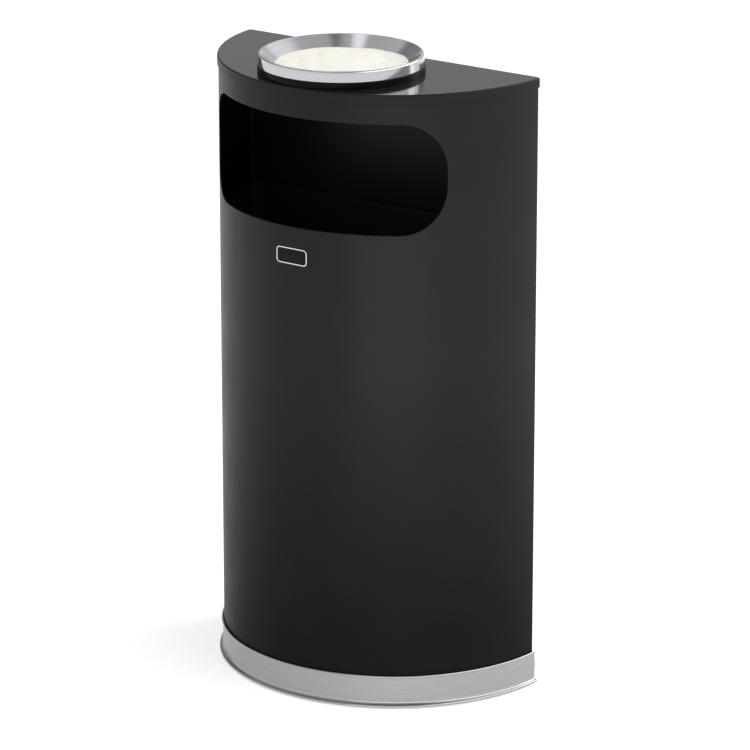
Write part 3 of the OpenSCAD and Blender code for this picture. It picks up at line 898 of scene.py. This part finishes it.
sand_rings = SAND_EDGE_R * np.sqrt(np.linspace(0, 1, SAND_RINGS))
sand_loops = circles([(r, sand_edge_z) for r in sand_rings], pan_axis, TURN_STEPS)
for loop, r in zip(sand_loops, sand_rings):
    share = 1 - (r / SAND_EDGE_R) ** 2
    for point in loop:
        reach = reach_up_funnel(point) * (1 - share)
        point[:2] += (point[:2] - pan_axis) * reach / SAND_EDGE_R
        point[2] += funnel_slope * reach * (1 - share)
        lump = noise.noise(Vector(point) * LUMP_SCALE) * SAND_LUMPS
        ripple = noise.noise(Vector(point) * RIPPLE_SCALE) * SAND_RIPPLES
        lumpy = min(1, LUMPS_GROW * share + LUMPS_AT_EDGE)
        point[2] += sand_mound * share + (lump + ripple) * lumpy
sand_foot_section = [(SAND_EDGE_R - SAND_FOOT_IN, sand_low.z), (0, sand_low.z)]
sand_foot = circles(sand_foot_section, pan_axis, TURN_STEPS)
heap = loft("sand_heap", np.concatenate([sand_loops, sand_foot]))
print("heap's top, mm:", round(max(v.co.z for v in heap.data.vertices) / MM, 2))

# %% [markdown]
# A bare mound would look like plaster, so loose grains lie on it. Thousands of objects would be
# slow, so a node tree scatters small balls over the faces that look up, with a fixed seed.

# %% Scatter the grains
GRAIN_R = 0.55 * MM
GRAIN_DENSITY = 200000.0
GRAIN_LEAST, GRAIN_MOST = (0.5, 0.5, 0.4), (1.3, 1.1, 0.9)
GRAIN_TILT = 0.6

grain_tree, grain_in, grain_out = new_tree("scattered_grains", {
    "Density": "Float", "Grain Radius": "Float", "Seed": "Int", "Finish": "Material"})
facing = add_node(grain_tree, "GeometryNodeInputNormal").outputs["Normal"]
is_top = through(height_of(facing), "FunctionNodeCompare", "A", "Result", {"B": GRAIN_TILT})
ball = through(grain_in.outputs["Grain Radius"], "GeometryNodeMeshIcoSphere", "Radius", "Mesh",
               {"Subdivisions": 1})
scatter, place_grains, join_grains = (grain_tree.nodes.new("GeometryNode" + kind) for kind in (
    "DistributePointsOnFaces", "InstanceOnPoints", "JoinGeometry"))
grain_turn, grain_size = (
    add_node(grain_tree, "FunctionNodeRandomValue", limits, data_type="FLOAT_VECTOR")
    for limits in ({"Max": (math.tau,) * 3}, {"Min": GRAIN_LEAST, "Max": GRAIN_MOST}))
link(is_top, scatter.inputs["Selection"])
link(ball, place_grains.inputs["Instance"])
wire((grain_in, "Geometry", scatter, "Mesh"), (grain_in, "Density", scatter, "Density"),
     (grain_in, "Seed", scatter, "Seed"), (scatter, "Points", place_grains, "Points"),
     (grain_turn, "Value", place_grains, "Rotation"), (grain_size, "Value", place_grains, "Scale"),
     (grain_in, "Geometry", join_grains, "Geometry"),
     (place_grains, "Instances", join_grains, "Geometry"))
end_tree(grain_in, grain_out, join_grains.outputs["Geometry"])
sand = grow(
    "loose_sand", grain_tree,
    {"Density": GRAIN_DENSITY, "Grain Radius": GRAIN_R, "Seed": SAND_SEED, "Finish": sand_grain},
    [v.co for v in heap.data.vertices], [list(p.vertices) for p in heap.data.polygons],
)
sand.data.shade_smooth()
drop(heap)
print("sand faces:", len(sand.data.polygons))

# %% [markdown]
# ## The foot ring
# The ring is one section drawn round the arc: a bead at the top, a plain wall, a cove, and a
# rounded lip at the floor. That is a sweep, so a node tree draws an arc and sweeps the section
# along it.

# %% Draw the ring's section
RING_GAP = 0.1 * MM
RING_T = 1.4 * MM
RING_BEAD = 1.7 * MM
RING_LIP = 2 * MM

ring_flare = (arc_y - ring_low.y) - arc_r
cove = ring_flare - RING_LIP - RING_GAP - RING_T


def arc_points(a, b, radius, start, stop, steps):
    """Points along part of a circle round (a, b), with its angles in degrees."""
    return np.array([a, b]) + radius * spokes(np.radians(np.linspace(start, stop, steps + 1)))


bead_end = -math.degrees(math.acos((RING_T - RING_BEAD) / RING_BEAD))
cove_z = ring_low.z + 2 * RING_LIP + cove
ring_section = np.concatenate([
    [(RING_GAP, ring_low.z)],
    arc_points(RING_GAP + RING_BEAD, ring_high.z - RING_BEAD, RING_BEAD, 180, bead_end, steps=18),
    arc_points(RING_GAP + RING_T + cove, cove_z, cove, 180, 270, steps=10),
    arc_points(ring_flare - RING_LIP, ring_low.z + RING_LIP, RING_LIP, 90, -90, steps=14),
])
section_curve = bpy.data.curves.new("ring_section", "CURVE")
section_line = section_curve.splines.new("POLY")
section_line.points.add(len(ring_section) - 1)
for point, (out, z) in zip(section_line.points, ring_section):
    point.co = (-out, -z, 0, 1)
section_line.use_cyclic_u = True
section_object = bpy.data.objects.new("ring_section", section_curve)
scene.collection.objects.link(section_object)
print("points of the ring's section:", len(ring_section))

# %% Sweep the section round the arc
SWEEP_STEPS = 181

sweep_tree, sweep_in, sweep_out = new_tree("swept_section", {
    "Section": "Object", "Radius": "Float", "Start": "Float", "Sweep": "Float", "Steps": "Int",
    "Centre": "Vector", "Finish": "Material"})
section = through(sweep_in.outputs["Section"], "GeometryNodeObjectInfo", "Object", "Geometry")
arc_path = add_node(sweep_tree, "GeometryNodeCurveArc")
level_path = through(
    arc_path.outputs["Curve"], "GeometryNodeSetCurveNormal", "Curve", "Curve", mode="Z_UP")
swept = through(level_path, "GeometryNodeCurveToMesh", "Curve", "Mesh", {"Fill Caps": True})
moved = through(swept, "GeometryNodeTransform", "Geometry", "Geometry")
link(section, swept.node.inputs["Profile Curve"])
wire((sweep_in, "Steps", arc_path, "Resolution"), (sweep_in, "Radius", arc_path, "Radius"),
     (sweep_in, "Start", arc_path, "Start Angle"), (sweep_in, "Sweep", arc_path, "Sweep Angle"),
     (sweep_in, "Centre", moved.node, "Translation"))
end_tree(sweep_in, sweep_out, moved)

ring_end = math.acos((arc_y - back_y) / (arc_r + ring_flare))
foot_ring = grow("swept_foot_ring", sweep_tree, {
    "Section": section_object, "Radius": arc_r, "Start": -math.pi / 2 + ring_end,
    "Sweep": -2 * ring_end, "Steps": SWEEP_STEPS, "Centre": (0, arc_y, 0), "Finish": satin_ring,
})
finish_mesh(foot_ring.data)
drop(section_object)
ring_box = np.array([v.co for v in foot_ring.data.vertices])
print("ring box, mm:", np.round(ring_box.min(0) / MM, 2), np.round(ring_box.max(0) / MM, 2))

# %% [markdown]
# Behind each back corner the ring ends in a small tab that is riveted to the shell. A tab is a
# stack of rounded outlines, and the last ones draw in, so that its outer edge is soft.

# %% Tabs of the foot ring
TAB_W = 24 * MM
TAB_H = 16 * MM
TAB_Z = 24 * MM
TAB_RADII = (3 * MM, 0.8 * MM, 0.8 * MM, 3 * MM)
TAB_STEPS = (
    (0, 0), (RING_T - 0.4 * MM, 0), (RING_T - 0.1 * MM, 0.15 * MM), (RING_T, 0.45 * MM),
)
tab_x = math.sqrt((arc_r + RING_GAP + RING_T) ** 2 - (arc_y - back_y) ** 2)


def tab_loops(side):
    """A rounded tab on the back, as an outline at each depth."""
    loops = []
    for depth, inset in TAB_STEPS:
        across = (tab_x - TAB_W + inset, tab_x - inset)
        up = (TAB_Z - TAB_H / 2 + inset, TAB_Z + TAB_H / 2 - inset)
        outline = soften(rectangle(across, up, TAB_RADII))
        loops.append([(side * x, back_y + depth, z) for x, z in outline])
    return loops


tabs = [loft("ring_tab_" + label, tab_loops(side), satin_ring, caps=True)
        for label, side in (("left", -1), ("right", 1))]
print("tabs:", [t.name for t in tabs])

# %% [markdown]
# ## The badge plate
# A small plate under the opening, bare, with a bright raised border round a dark field. A
# Shrinkwrap modifier could lay a flat plate on the curved shell. The shell's own rolling does it
# exactly, so the plate's loops are drawn flat and then rolled onto the sheet.

# %% Helpers: outline and field of the badge plate
BADGE_W = 46 * MM
BADGE_H = 21 * MM
BADGE_CORNER = 5 * MM
BADGE_LEAST_CORNER = 0.4 * MM
BADGE_T = 0.8 * MM
BADGE_BORDER = 1.4 * MM
FIELD_SLACK = 0.1 * MM

badge_low, badge_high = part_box("badge_plate")
badge_z = (badge_low.z + badge_high.z) / 2


def badge_loop(inset, lift):
    """The plate's outline, inset all round and lifted off the shell."""
    w, h = BADGE_W / 2 - inset, BADGE_H / 2 - inset
    corner = max(BADGE_CORNER - inset, BADGE_LEAST_CORNER)
    outline = soften(rectangle((-w, w), (-h, h), (corner,) * 4), steps=7)
    return on_shell(outline[:, 0], badge_z + outline[:, 1], -lift)


def in_field(face):
    """Whether a face lies inside the border and no higher than the plate."""
    x, y, z = face.center
    inside = (abs(z - badge_z) < BADGE_H / 2 - BADGE_BORDER
              and abs(x) < BADGE_W / 2 - BADGE_BORDER)
    return inside and math.hypot(x, y - arc_y) - arc_r < BADGE_T + FIELD_SLACK


print("badge's middle, mm:", round(badge_z / MM, 2))

# %% Press the badge plate
BADGE_RAISE = 0.4 * MM
FIELD_MIDDLE = 0.5 * MM
FIELD_SHARES = np.linspace(0.1, 1, 6)

badge_top = BADGE_T + BADGE_RAISE
border_steps = [
    (0, 0), (0, badge_top - 0.3 * MM), (0.1 * MM, badge_top - 0.08 * MM), (0.35 * MM, badge_top),
    (BADGE_BORDER - 0.35 * MM, badge_top), (BADGE_BORDER - 0.1 * MM, badge_top - 0.1 * MM),
    (BADGE_BORDER, BADGE_T),
]
field_steps = [(BADGE_BORDER + share * (BADGE_H / 2 - BADGE_BORDER - FIELD_MIDDLE), BADGE_T)
               for share in FIELD_SHARES]
badge_loops = [badge_loop(*step) for step in border_steps + field_steps]
badge = loft("badge_plate_bare", badge_loops, bright_border, badge_field, caps=True)
repaint(badge, in_field)
print("badge faces:", len(badge.data.polygons))

# %% [markdown]
# ## Rivets, feet, screws and nuts
# Every fastener is made once as a shape and copied to its places by the node tree. The places come
# from the frame: the ends of each row, or the middle of each foot.

# %% Shape a rivet
RIVET_HEAD_R = 3.4 * MM
RIVET_HEAD_H = 1.1 * MM
RIVET_R = 1.6 * MM
RIVET_TAIL_R = 2.6 * MM
RIVET_TAIL_H = 1.2 * MM
TAIL_EDGE = 0.4 * MM
PIN_R = 1 * MM
PIT_R, PIT_EDGE, PIT_FLOOR = 0.8, 0.65, 0.6
DOME_TURNS = np.radians([0, 20, 40, 58, 70])
RIVET_STEPS = 28


def rivet_shape(name, layers):
    """A set rivet along Z: domed head with the pin's pit, shank, and a tail below the layers."""
    tail = -layers - RIVET_TAIL_H
    dome = [(RIVET_HEAD_R * math.cos(t), RIVET_HEAD_H * math.sin(t)) for t in DOME_TURNS]
    section = [
        (0, tail), (RIVET_TAIL_R - TAIL_EDGE, tail), (RIVET_TAIL_R, tail + TAIL_EDGE),
        (RIVET_TAIL_R, -layers), (RIVET_R, -layers), (RIVET_R, 0), *dome, (PIN_R, RIVET_HEAD_H),
        (PIT_R * PIN_R, PIT_EDGE * RIVET_HEAD_H), (0, PIT_FLOOR * RIVET_HEAD_H),
    ]
    return loft(name, circles(section, (0, 0), RIVET_STEPS))


panel_rivet = rivet_shape("panel_rivet", 2 * SHEET)
ring_rivet = rivet_shape("ring_rivet", RING_T + 3 * SHEET)
print("points of a rivet:", len(panel_rivet.data.vertices))

# %% Set the rivets
BACK_RIVETS = 7
FLOOR_RIVETS = 3
TO_BACK = (-math.pi / 2, 0, 0)


def row(first, last, count):
    """Places in a straight row from first to last."""
    return [Vector(first).lerp(Vector(last), i / (count - 1)) for i in range(count)]


rivets_low, rivets_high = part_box("back_rivets")
rivet_x = rivets_high.x - RIVET_HEAD_R
back_places = []
for x in (-rivet_x, rivet_x):
    ends = [(x, back_y, z) for z in (rivets_low.z + RIVET_HEAD_R, rivets_high.z - RIVET_HEAD_R)]
    back_places += row(*ends, BACK_RIVETS)
floor_rivets_low, floor_rivets_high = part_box("floor_rivets")
floor_rivet_z = (floor_rivets_low.z + floor_rivets_high.z) / 2
floor_ends = [(x, back_y - SHEET, floor_rivet_z)
              for x in (floor_rivets_low.x + RIVET_HEAD_R, floor_rivets_high.x - RIVET_HEAD_R)]
floor_places = row(*floor_ends, FLOOR_RIVETS)
ring_places = [(x, back_y + RING_T, floor_rivet_z) for x in (-rivet_x, rivet_x)]
back_rivets = copies("back_panel_rivets", panel_rivet, back_places, rivet_paint, TO_BACK)
floor_rivets = copies("floor_pan_rivets", panel_rivet, floor_places, rivet_paint, TO_BACK)
ring_rivets = copies("foot_ring_rivets", ring_rivet, ring_places, satin_ring, TO_BACK)
drop(panel_rivet, ring_rivet)
print("rivets:", len(back_places), len(floor_places), len(ring_places))

# %% [markdown]
# Four rubber feet lift the bin off the floor. Each is a short cone with a bore, and a pocket below
# it for a screw's head, so it is one closed section turned round.

# %% Mould the feet
FOOT_BORE_R = 2.5 * MM
FOOT_POCKET_R = 6 * MM
FOOT_POCKET_H = 5 * MM
FOOT_TAPER = 2 * MM
ROUND_STEPS = 48

foot_boxes = [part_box("foot_%d" % i) for i in (1, 2, 3, 4)]
foot_plan = [((low.x + high.x) / 2, (low.y + high.y) / 2) for low, high in foot_boxes]
foot_top_r = (foot_boxes[0][1].x - foot_boxes[0][0].x) / 2
foot_h = foot_boxes[0][1].z
foot_section = soften([
    (FOOT_POCKET_R, 0, 0.6 * MM), (foot_top_r - FOOT_TAPER, 0, 1.2 * MM),
    (foot_top_r, foot_h, 0.5 * MM), (FOOT_BORE_R, foot_h, 0),
    (FOOT_BORE_R, FOOT_POCKET_H, 0), (FOOT_POCKET_R, FOOT_POCKET_H, 0.5 * MM),
], steps=5)
foot_shape = loft("foot_shape", circles(foot_section, (0, 0), ROUND_STEPS), closed=True)
feet = copies("rubber_feet", foot_shape, at_height(foot_plan, 0), foot_moulding)
drop(foot_shape)
print("feet:", len(foot_plan))

# %% [markdown]
# A screw goes up through each foot. Its head is a dome with a cross in it. A Boolean would cut the
# cross more sharply, but the head hides in the foot's pocket, so the vertices that lie in the cross
# are simply pushed in.

# %% Turn the feet's screws
FOOT_HEAD_R = 4.7 * MM
FOOT_HEAD_H = 3 * MM
POINT_EDGE = 0.5 * MM
HEAD_TURNS = np.radians(range(0, 91, 6))
HEAD_EDGE, HEAD_DOME = 0.55, 0.45
CROSS_R, CROSS_W, CROSS_FROM, CROSS_DEPTH = 0.55, 0.13, 0.3, 0.45


def screw_shape(name, head_r, head_h, shank_r, length):
    """A cross-recessed pan-head screw along Z, with its head's underside at Z = 0."""
    section = [(head_r * math.sin(t), -head_h * (HEAD_EDGE + HEAD_DOME * math.cos(t)))
               for t in HEAD_TURNS]
    section += [(head_r, 0), (shank_r, 0), (shank_r, length - POINT_EDGE),
                (shank_r - POINT_EDGE, length), (0, length)]
    screw = loft(name, circles(section, (0, 0), ROUND_STEPS))
    for vertex in screw.data.vertices:
        x, y, z = vertex.co / head_r
        in_cross = min(abs(x), abs(y)) < CROSS_W and max(abs(x), abs(y)) < CROSS_R
        if in_cross and z < -CROSS_FROM * head_h / head_r:
            vertex.co.z += CROSS_DEPTH * head_h
    return screw


screws_low, screws_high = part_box("foot_screws")
head_z = screws_low.z + FOOT_HEAD_H
foot_screw = screw_shape(
    "foot_screw", FOOT_HEAD_R, FOOT_HEAD_H, FOOT_BORE_R, screws_high.z - head_z)
foot_screws = copies("foot_screw_set", foot_screw, at_height(foot_plan, head_z), zinc_plate)
drop(foot_screw)
print("foot screws:", len(foot_plan))

# %% [markdown]
# A nut is a hexagon whose corners are turned off above and below. Its loops are the nearer of the
# two at every angle, the hexagon's side or the turned circle, and the bore closes them.

# %% Cut the nuts
NUT_ACROSS = 8 * MM
NUT_EDGE = 0.5 * MM
NUT_TURNED = 0.92

nut_low, nut_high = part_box("foot_nuts")
nut_h = nut_high.z - nut_low.z
nut_corner_r = NUT_ACROSS / math.sqrt(3)
nut_turn = np.linspace(0, math.tau, ROUND_STEPS, endpoint=False)
hexagon = NUT_ACROSS / 2 / np.cos((nut_turn + math.pi / 6) % (math.pi / 3) - math.pi / 6)
nut_steps = ((0, NUT_TURNED), (NUT_EDGE, 1), (nut_h - NUT_EDGE, 1), (nut_h, NUT_TURNED))
nut_loops = [at_height(np.minimum(hexagon, nut_corner_r * limit)[:, None] * spokes(nut_turn), z)
             for z, limit in nut_steps]
nut_loops += list(circles([(FOOT_BORE_R, nut_h), (FOOT_BORE_R, 0)], (0, 0), ROUND_STEPS))
nut_shape = loft("nut_shape", nut_loops, closed=True)
foot_nuts = copies("foot_nut_set", nut_shape, at_height(foot_plan, nut_low.z), zinc_plate)
drop(nut_shape)
print("nuts:", len(foot_plan), "height, mm:", round(nut_h / MM, 2))

# %% [markdown]
# Smaller screws of the same form come up through the lid into the seat ring. The same helper shapes
# them, and only their sizes and places differ.

# %% Screws under the seat ring
SEAT_SCREW_R = 1.7 * MM
SEAT_HEAD_R = 3.2 * MM
SEAT_HEAD_H = 2 * MM
SEAT_SCREWS = 6

seat_screws_low, seat_screws_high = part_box("seat_screws")
seat_head_z = seat_screws_low.z + SEAT_HEAD_H
seat_screw = screw_shape(
    "seat_screw", SEAT_HEAD_R, SEAT_HEAD_H, SEAT_SCREW_R, seat_screws_high.z - seat_head_z)
seat_turns = (np.arange(SEAT_SCREWS) + 0.5) * math.tau / SEAT_SCREWS
seat_plan = np.array(pan_axis) + (seat_r - SEAT_W / 2) * spokes(seat_turns)
seat_screws = copies("seat_screw_set", seat_screw, at_height(seat_plan, seat_head_z), zinc_plate)
drop(seat_screw)
print("seat screws:", len(seat_plan))

# %% [markdown]
# ## The liner
# A moulded plastic liner stands on the floor pan. Its wall leans in towards the foot, its rim rolls
# over to give the fingers a hold, and its bottom sits up inside a foot ring. Each point of its
# section is one outline, so it is stacked like the lid.

# %% Mould the liner
LINER_T = 2.4 * MM
LINER_ROOM = 7 * MM
LINER_RIM = 6 * MM
LINER_RIM_H = 12 * MM
LINER_LEAN = 7 * MM
LINER_CORNER = 22 * MM
LINER_FOOT_H = 9 * MM

liner_low, liner_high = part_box("liner")
rim_in = 2 * SHEET + LINER_ROOM
wall_in = rim_in + LINER_RIM
foot_in = wall_in + LINER_LEAN
inside_z = liner_low.z + LINER_FOOT_H
rim_z = liner_high.z - LINER_T
fold_z = liner_high.z - LINER_RIM_H
liner_section = soften([
    (foot_in + 3 * LINER_T, inside_z, 0), (foot_in + LINER_T, inside_z, 1 * MM),
    (foot_in + LINER_T, liner_low.z, 0.8 * MM), (foot_in, liner_low.z, 1.2 * MM),
    (wall_in, rim_z, 1 * MM), (rim_in + LINER_T, rim_z, 1 * MM),
    (rim_in + LINER_T, fold_z, 0.6 * MM), (rim_in, fold_z, 0.8 * MM),
    (rim_in, liner_high.z, 2.2 * MM), (wall_in + LINER_T, liner_high.z, 2 * MM),
    (foot_in + LINER_T, inside_z + LINER_T, 4 * MM), (foot_in + 3 * LINER_T, inside_z + LINER_T, 0),
], steps=5, closed=False)
liner_loops = stacked(liner_section, lambda inset: LINER_CORNER + wall_in - inset)
liner = loft("moulded_liner", liner_loops, liner_moulding, caps=True)
print("liner faces:", len(liner.data.polygons))

# %% [markdown]
# ## Which piece rides on what
# Each piece replaces the CAD node that it stands for and rides on that node's body. The flat back
# panel and the floor pan keep their CAD shape and take a finish.

# %% Ride and replace
KEPT_NODES = ("back_panel", "floor_pan")
# Under each body: a piece, its slot, and the nodes that it stands for.
RIDES = {
    "body": [
        (front_shell, "black_paint", "front_shell"), (top_hem, "black_paint"),
        (foot_ring, "satin_metal", "base_ring"), (tabs[0], "satin_metal"), (tabs[1], "satin_metal"),
        (badge, "badge", "badge_plate"), (back_rivets, "painted_rivet", "back_rivets"),
        (floor_rivets, "painted_rivet", "floor_rivets"),
        (ring_rivets, "satin_metal", "ring_rivets"),
        (feet, "foot_rubber", "foot_1", "foot_2", "foot_3", "foot_4"),
        (foot_screws, "zinc_steel", "foot_screws"), (foot_nuts, "zinc_steel", "foot_nuts"),
    ],
    "liner": [(liner, "liner_plastic", "liner")],
    "lid": [(lid, "lid_paint", "lid_cover"), (seat_ring, "seat_plastic", "seat_ring"),
            (seat_screws, "zinc_steel", "seat_screws")],
    "pan": [(pan, "spun_aluminium", "ash_pan"), (sand, "sand", "sand")],
}
for body, rows in RIDES.items():
    for piece, slot, *stands_for in rows:
        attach(piece, body)
        if stands_for:
            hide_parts(*stands_for)
for kept in KEPT_NODES:
    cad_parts[kept].material_slots[0].material = shell_paint
print("pieces:", sum(map(len, RIDES.values())), "CAD nodes kept:", KEPT_NODES)

# %% [markdown]
# ## Floor, light and camera
# The floor is a plain pale plane. A little white is added to it for the camera and for reflections
# only, so that it reads as white and still keeps the bin's shadow. Black paint shows little of its
# own colour, so what it mirrors draws its shape: here that is mostly the white floor.

# %% Floor
FLOOR_SIZE = 40
FLOOR_GREY = 0.9
FLOOR_ROUGHNESS = 0.9
ADDED_WHITE = 0.46

half_floor = FLOOR_SIZE / 2
floor_mesh = bpy.data.meshes.new("floor")
floor_corners = [(x * half_floor, y * half_floor, 0)
                 for x, y in ((-1, -1), (1, -1), (1, 1), (-1, 1))]
floor_mesh.from_pydata(floor_corners, [], [(0, 1, 2, 3)])
floor = bpy.data.objects.new("floor", floor_mesh)
scene.collection.objects.link(floor)
floor_paint, floor_shader, _ = new_finish(
    "floor_paint", grey(FLOOR_GREY), FLOOR_ROUGHNESS, specular=0.0)
fill(floor_shader, {"Emission Color": (1, 1, 1, 1)})
ray = add_node(floor_paint.node_tree, "ShaderNodeLightPath")
seen = ray.outputs["Is Camera Ray"]
for label in ("Is Glossy Ray", "Is Transmission Ray"):
    seen = through(seen, "ShaderNodeMath", 0, "Value", operation="MAXIMUM")
    link(ray.outputs[label], seen.node.inputs[1])
added = through(seen, "ShaderNodeMath", 0, "Value", {1: ADDED_WHITE}, operation="MULTIPLY")
link(added, floor_shader.inputs["Emission Strength"])
floor_mesh.materials.append(floor_paint)
print("floor:", FLOOR_SIZE, "m")

# %% [markdown]
# The world is a soft tent, white at the horizon. Bare metal shows only what it mirrors, so soft
# cards in the tent, some dark and some bright, give the spun pan its streaks.

# %% World
# Height in the tent, from the horizon to the top, and how bright it is there.
WORLD_LEVELS = ((0.0, 1.0), (0.1, 0.73), (0.25, 0.7), (0.6, 0.66), (1.0, 0.56))
# Direction of a card, its reach and its full part in degrees, and its level beside the tent's.
CARDS = (
    ((-0.86, 0.38, 0.33), 26, 14, 0.42),
    ((-0.2, -0.085, 0.976), 9, 4, 2.6),
    ((0.047, 0.047, 0.998), 8, 3, 0.15),
    ((0.1, 0.8, 0.59), 26, 8, 1.65),
)
world = bpy.data.worlds.new("studio")
scene.world = world
world.use_nodes = True
backdrop = world.node_tree.nodes["Background"]
toward = world.node_tree.nodes.new("ShaderNodeTexCoord").outputs["Generated"]
tent = [(height, grey(level)) for height, level in WORLD_LEVELS]
add_ramp(height_of(toward), tent, backdrop.inputs["Color"])
strength = backdrop.inputs["Strength"]
for direction, reach, full, level in CARDS:
    near = through(toward, "ShaderNodeVectorMath", 0, "Value",
                   {1: Vector(direction).normalized()}, operation="DOT_PRODUCT")
    shade = through(near, "ShaderNodeMapRange", "Value", "Result", {
        "From Min": math.cos(math.radians(reach)), "From Max": math.cos(math.radians(full)),
        "To Min": 1.0, "To Max": level}, interpolation_type="SMOOTHSTEP")
    product = through(shade, "ShaderNodeMath", 0, "Value", {1: 1.0}, operation="MULTIPLY")
    link(product, strength)
    strength = product.node.inputs[1]
print("world:", len(WORLD_LEVELS), "levels and", len(CARDS), "cards")

# %% [markdown]
# A wide lamp stands to the right and above, a smaller one behind, and a low one in front lifts the
# paint beside the opening. The lamps themselves don't show.

# %% Lamps
# Name, place, what it is turned to, width and height, power in watts.
LAMPS = (
    ("key_lamp", (2.0, 0.8, 2.1), (0, 0, 0.6), (4.8, 1.9), 58),
    ("back_lamp", (0.8, 1.72, 1.28), (0, 0, 0.8), (0.9, 0.6), 4.2),
    ("low_lamp", (0.72, -1.0, 0.22), (0, 0, 0.4), (1.2, 0.38), 2.5),
)


def turned_to(aim, place):
    """The rotation of a lamp or camera at a place that looks at its aim."""
    return (Vector(aim) - Vector(place)).to_track_quat("-Z", "Y").to_euler()


for name, place, aim, size, power in LAMPS:
    lamp = bpy.data.lights.new(name, "AREA")
    lamp.shape = "RECTANGLE"
    lamp.size, lamp.size_y = size
    lamp.energy = power
    holder = bpy.data.objects.new(name, lamp)
    holder.location = place
    holder.rotation_euler = turned_to(aim, place)
    holder.visible_camera = False
    scene.collection.objects.link(holder)

# %% [markdown]
# The camera stands where the photograph's camera stood, as near as a camera with no lens shift can:
# to the right of the front, above the lid, and looking down a little.

# %% Camera
CAMERA_AZIMUTH = math.radians(35.7)
CAMERA_DISTANCE = 5.5
CAMERA_HEIGHT = 2.157
AIM_RIGHT = 0.0421
AIM_HEIGHT = 0.4023
LENS = 218.6
SENSOR = 36

camera_data = bpy.data.cameras.new("camera")
camera_data.lens = LENS
camera_data.sensor_width = SENSOR
camera = bpy.data.objects.new("camera", camera_data)
sideways = Vector((math.cos(CAMERA_AZIMUTH), math.sin(CAMERA_AZIMUTH), 0))
forward = Vector((-math.sin(CAMERA_AZIMUTH), math.cos(CAMERA_AZIMUTH), 0))
camera.location = -forward * CAMERA_DISTANCE + Vector((0, 0, CAMERA_HEIGHT))
camera_aim = sideways * AIM_RIGHT + Vector((0, 0, AIM_HEIGHT))
camera.rotation_euler = turned_to(camera_aim, camera.location)
scene.collection.objects.link(camera)
scene.camera = camera
scene.view_settings.view_transform = "Standard"
print("camera at", [round(v, 3) for v in camera.location])
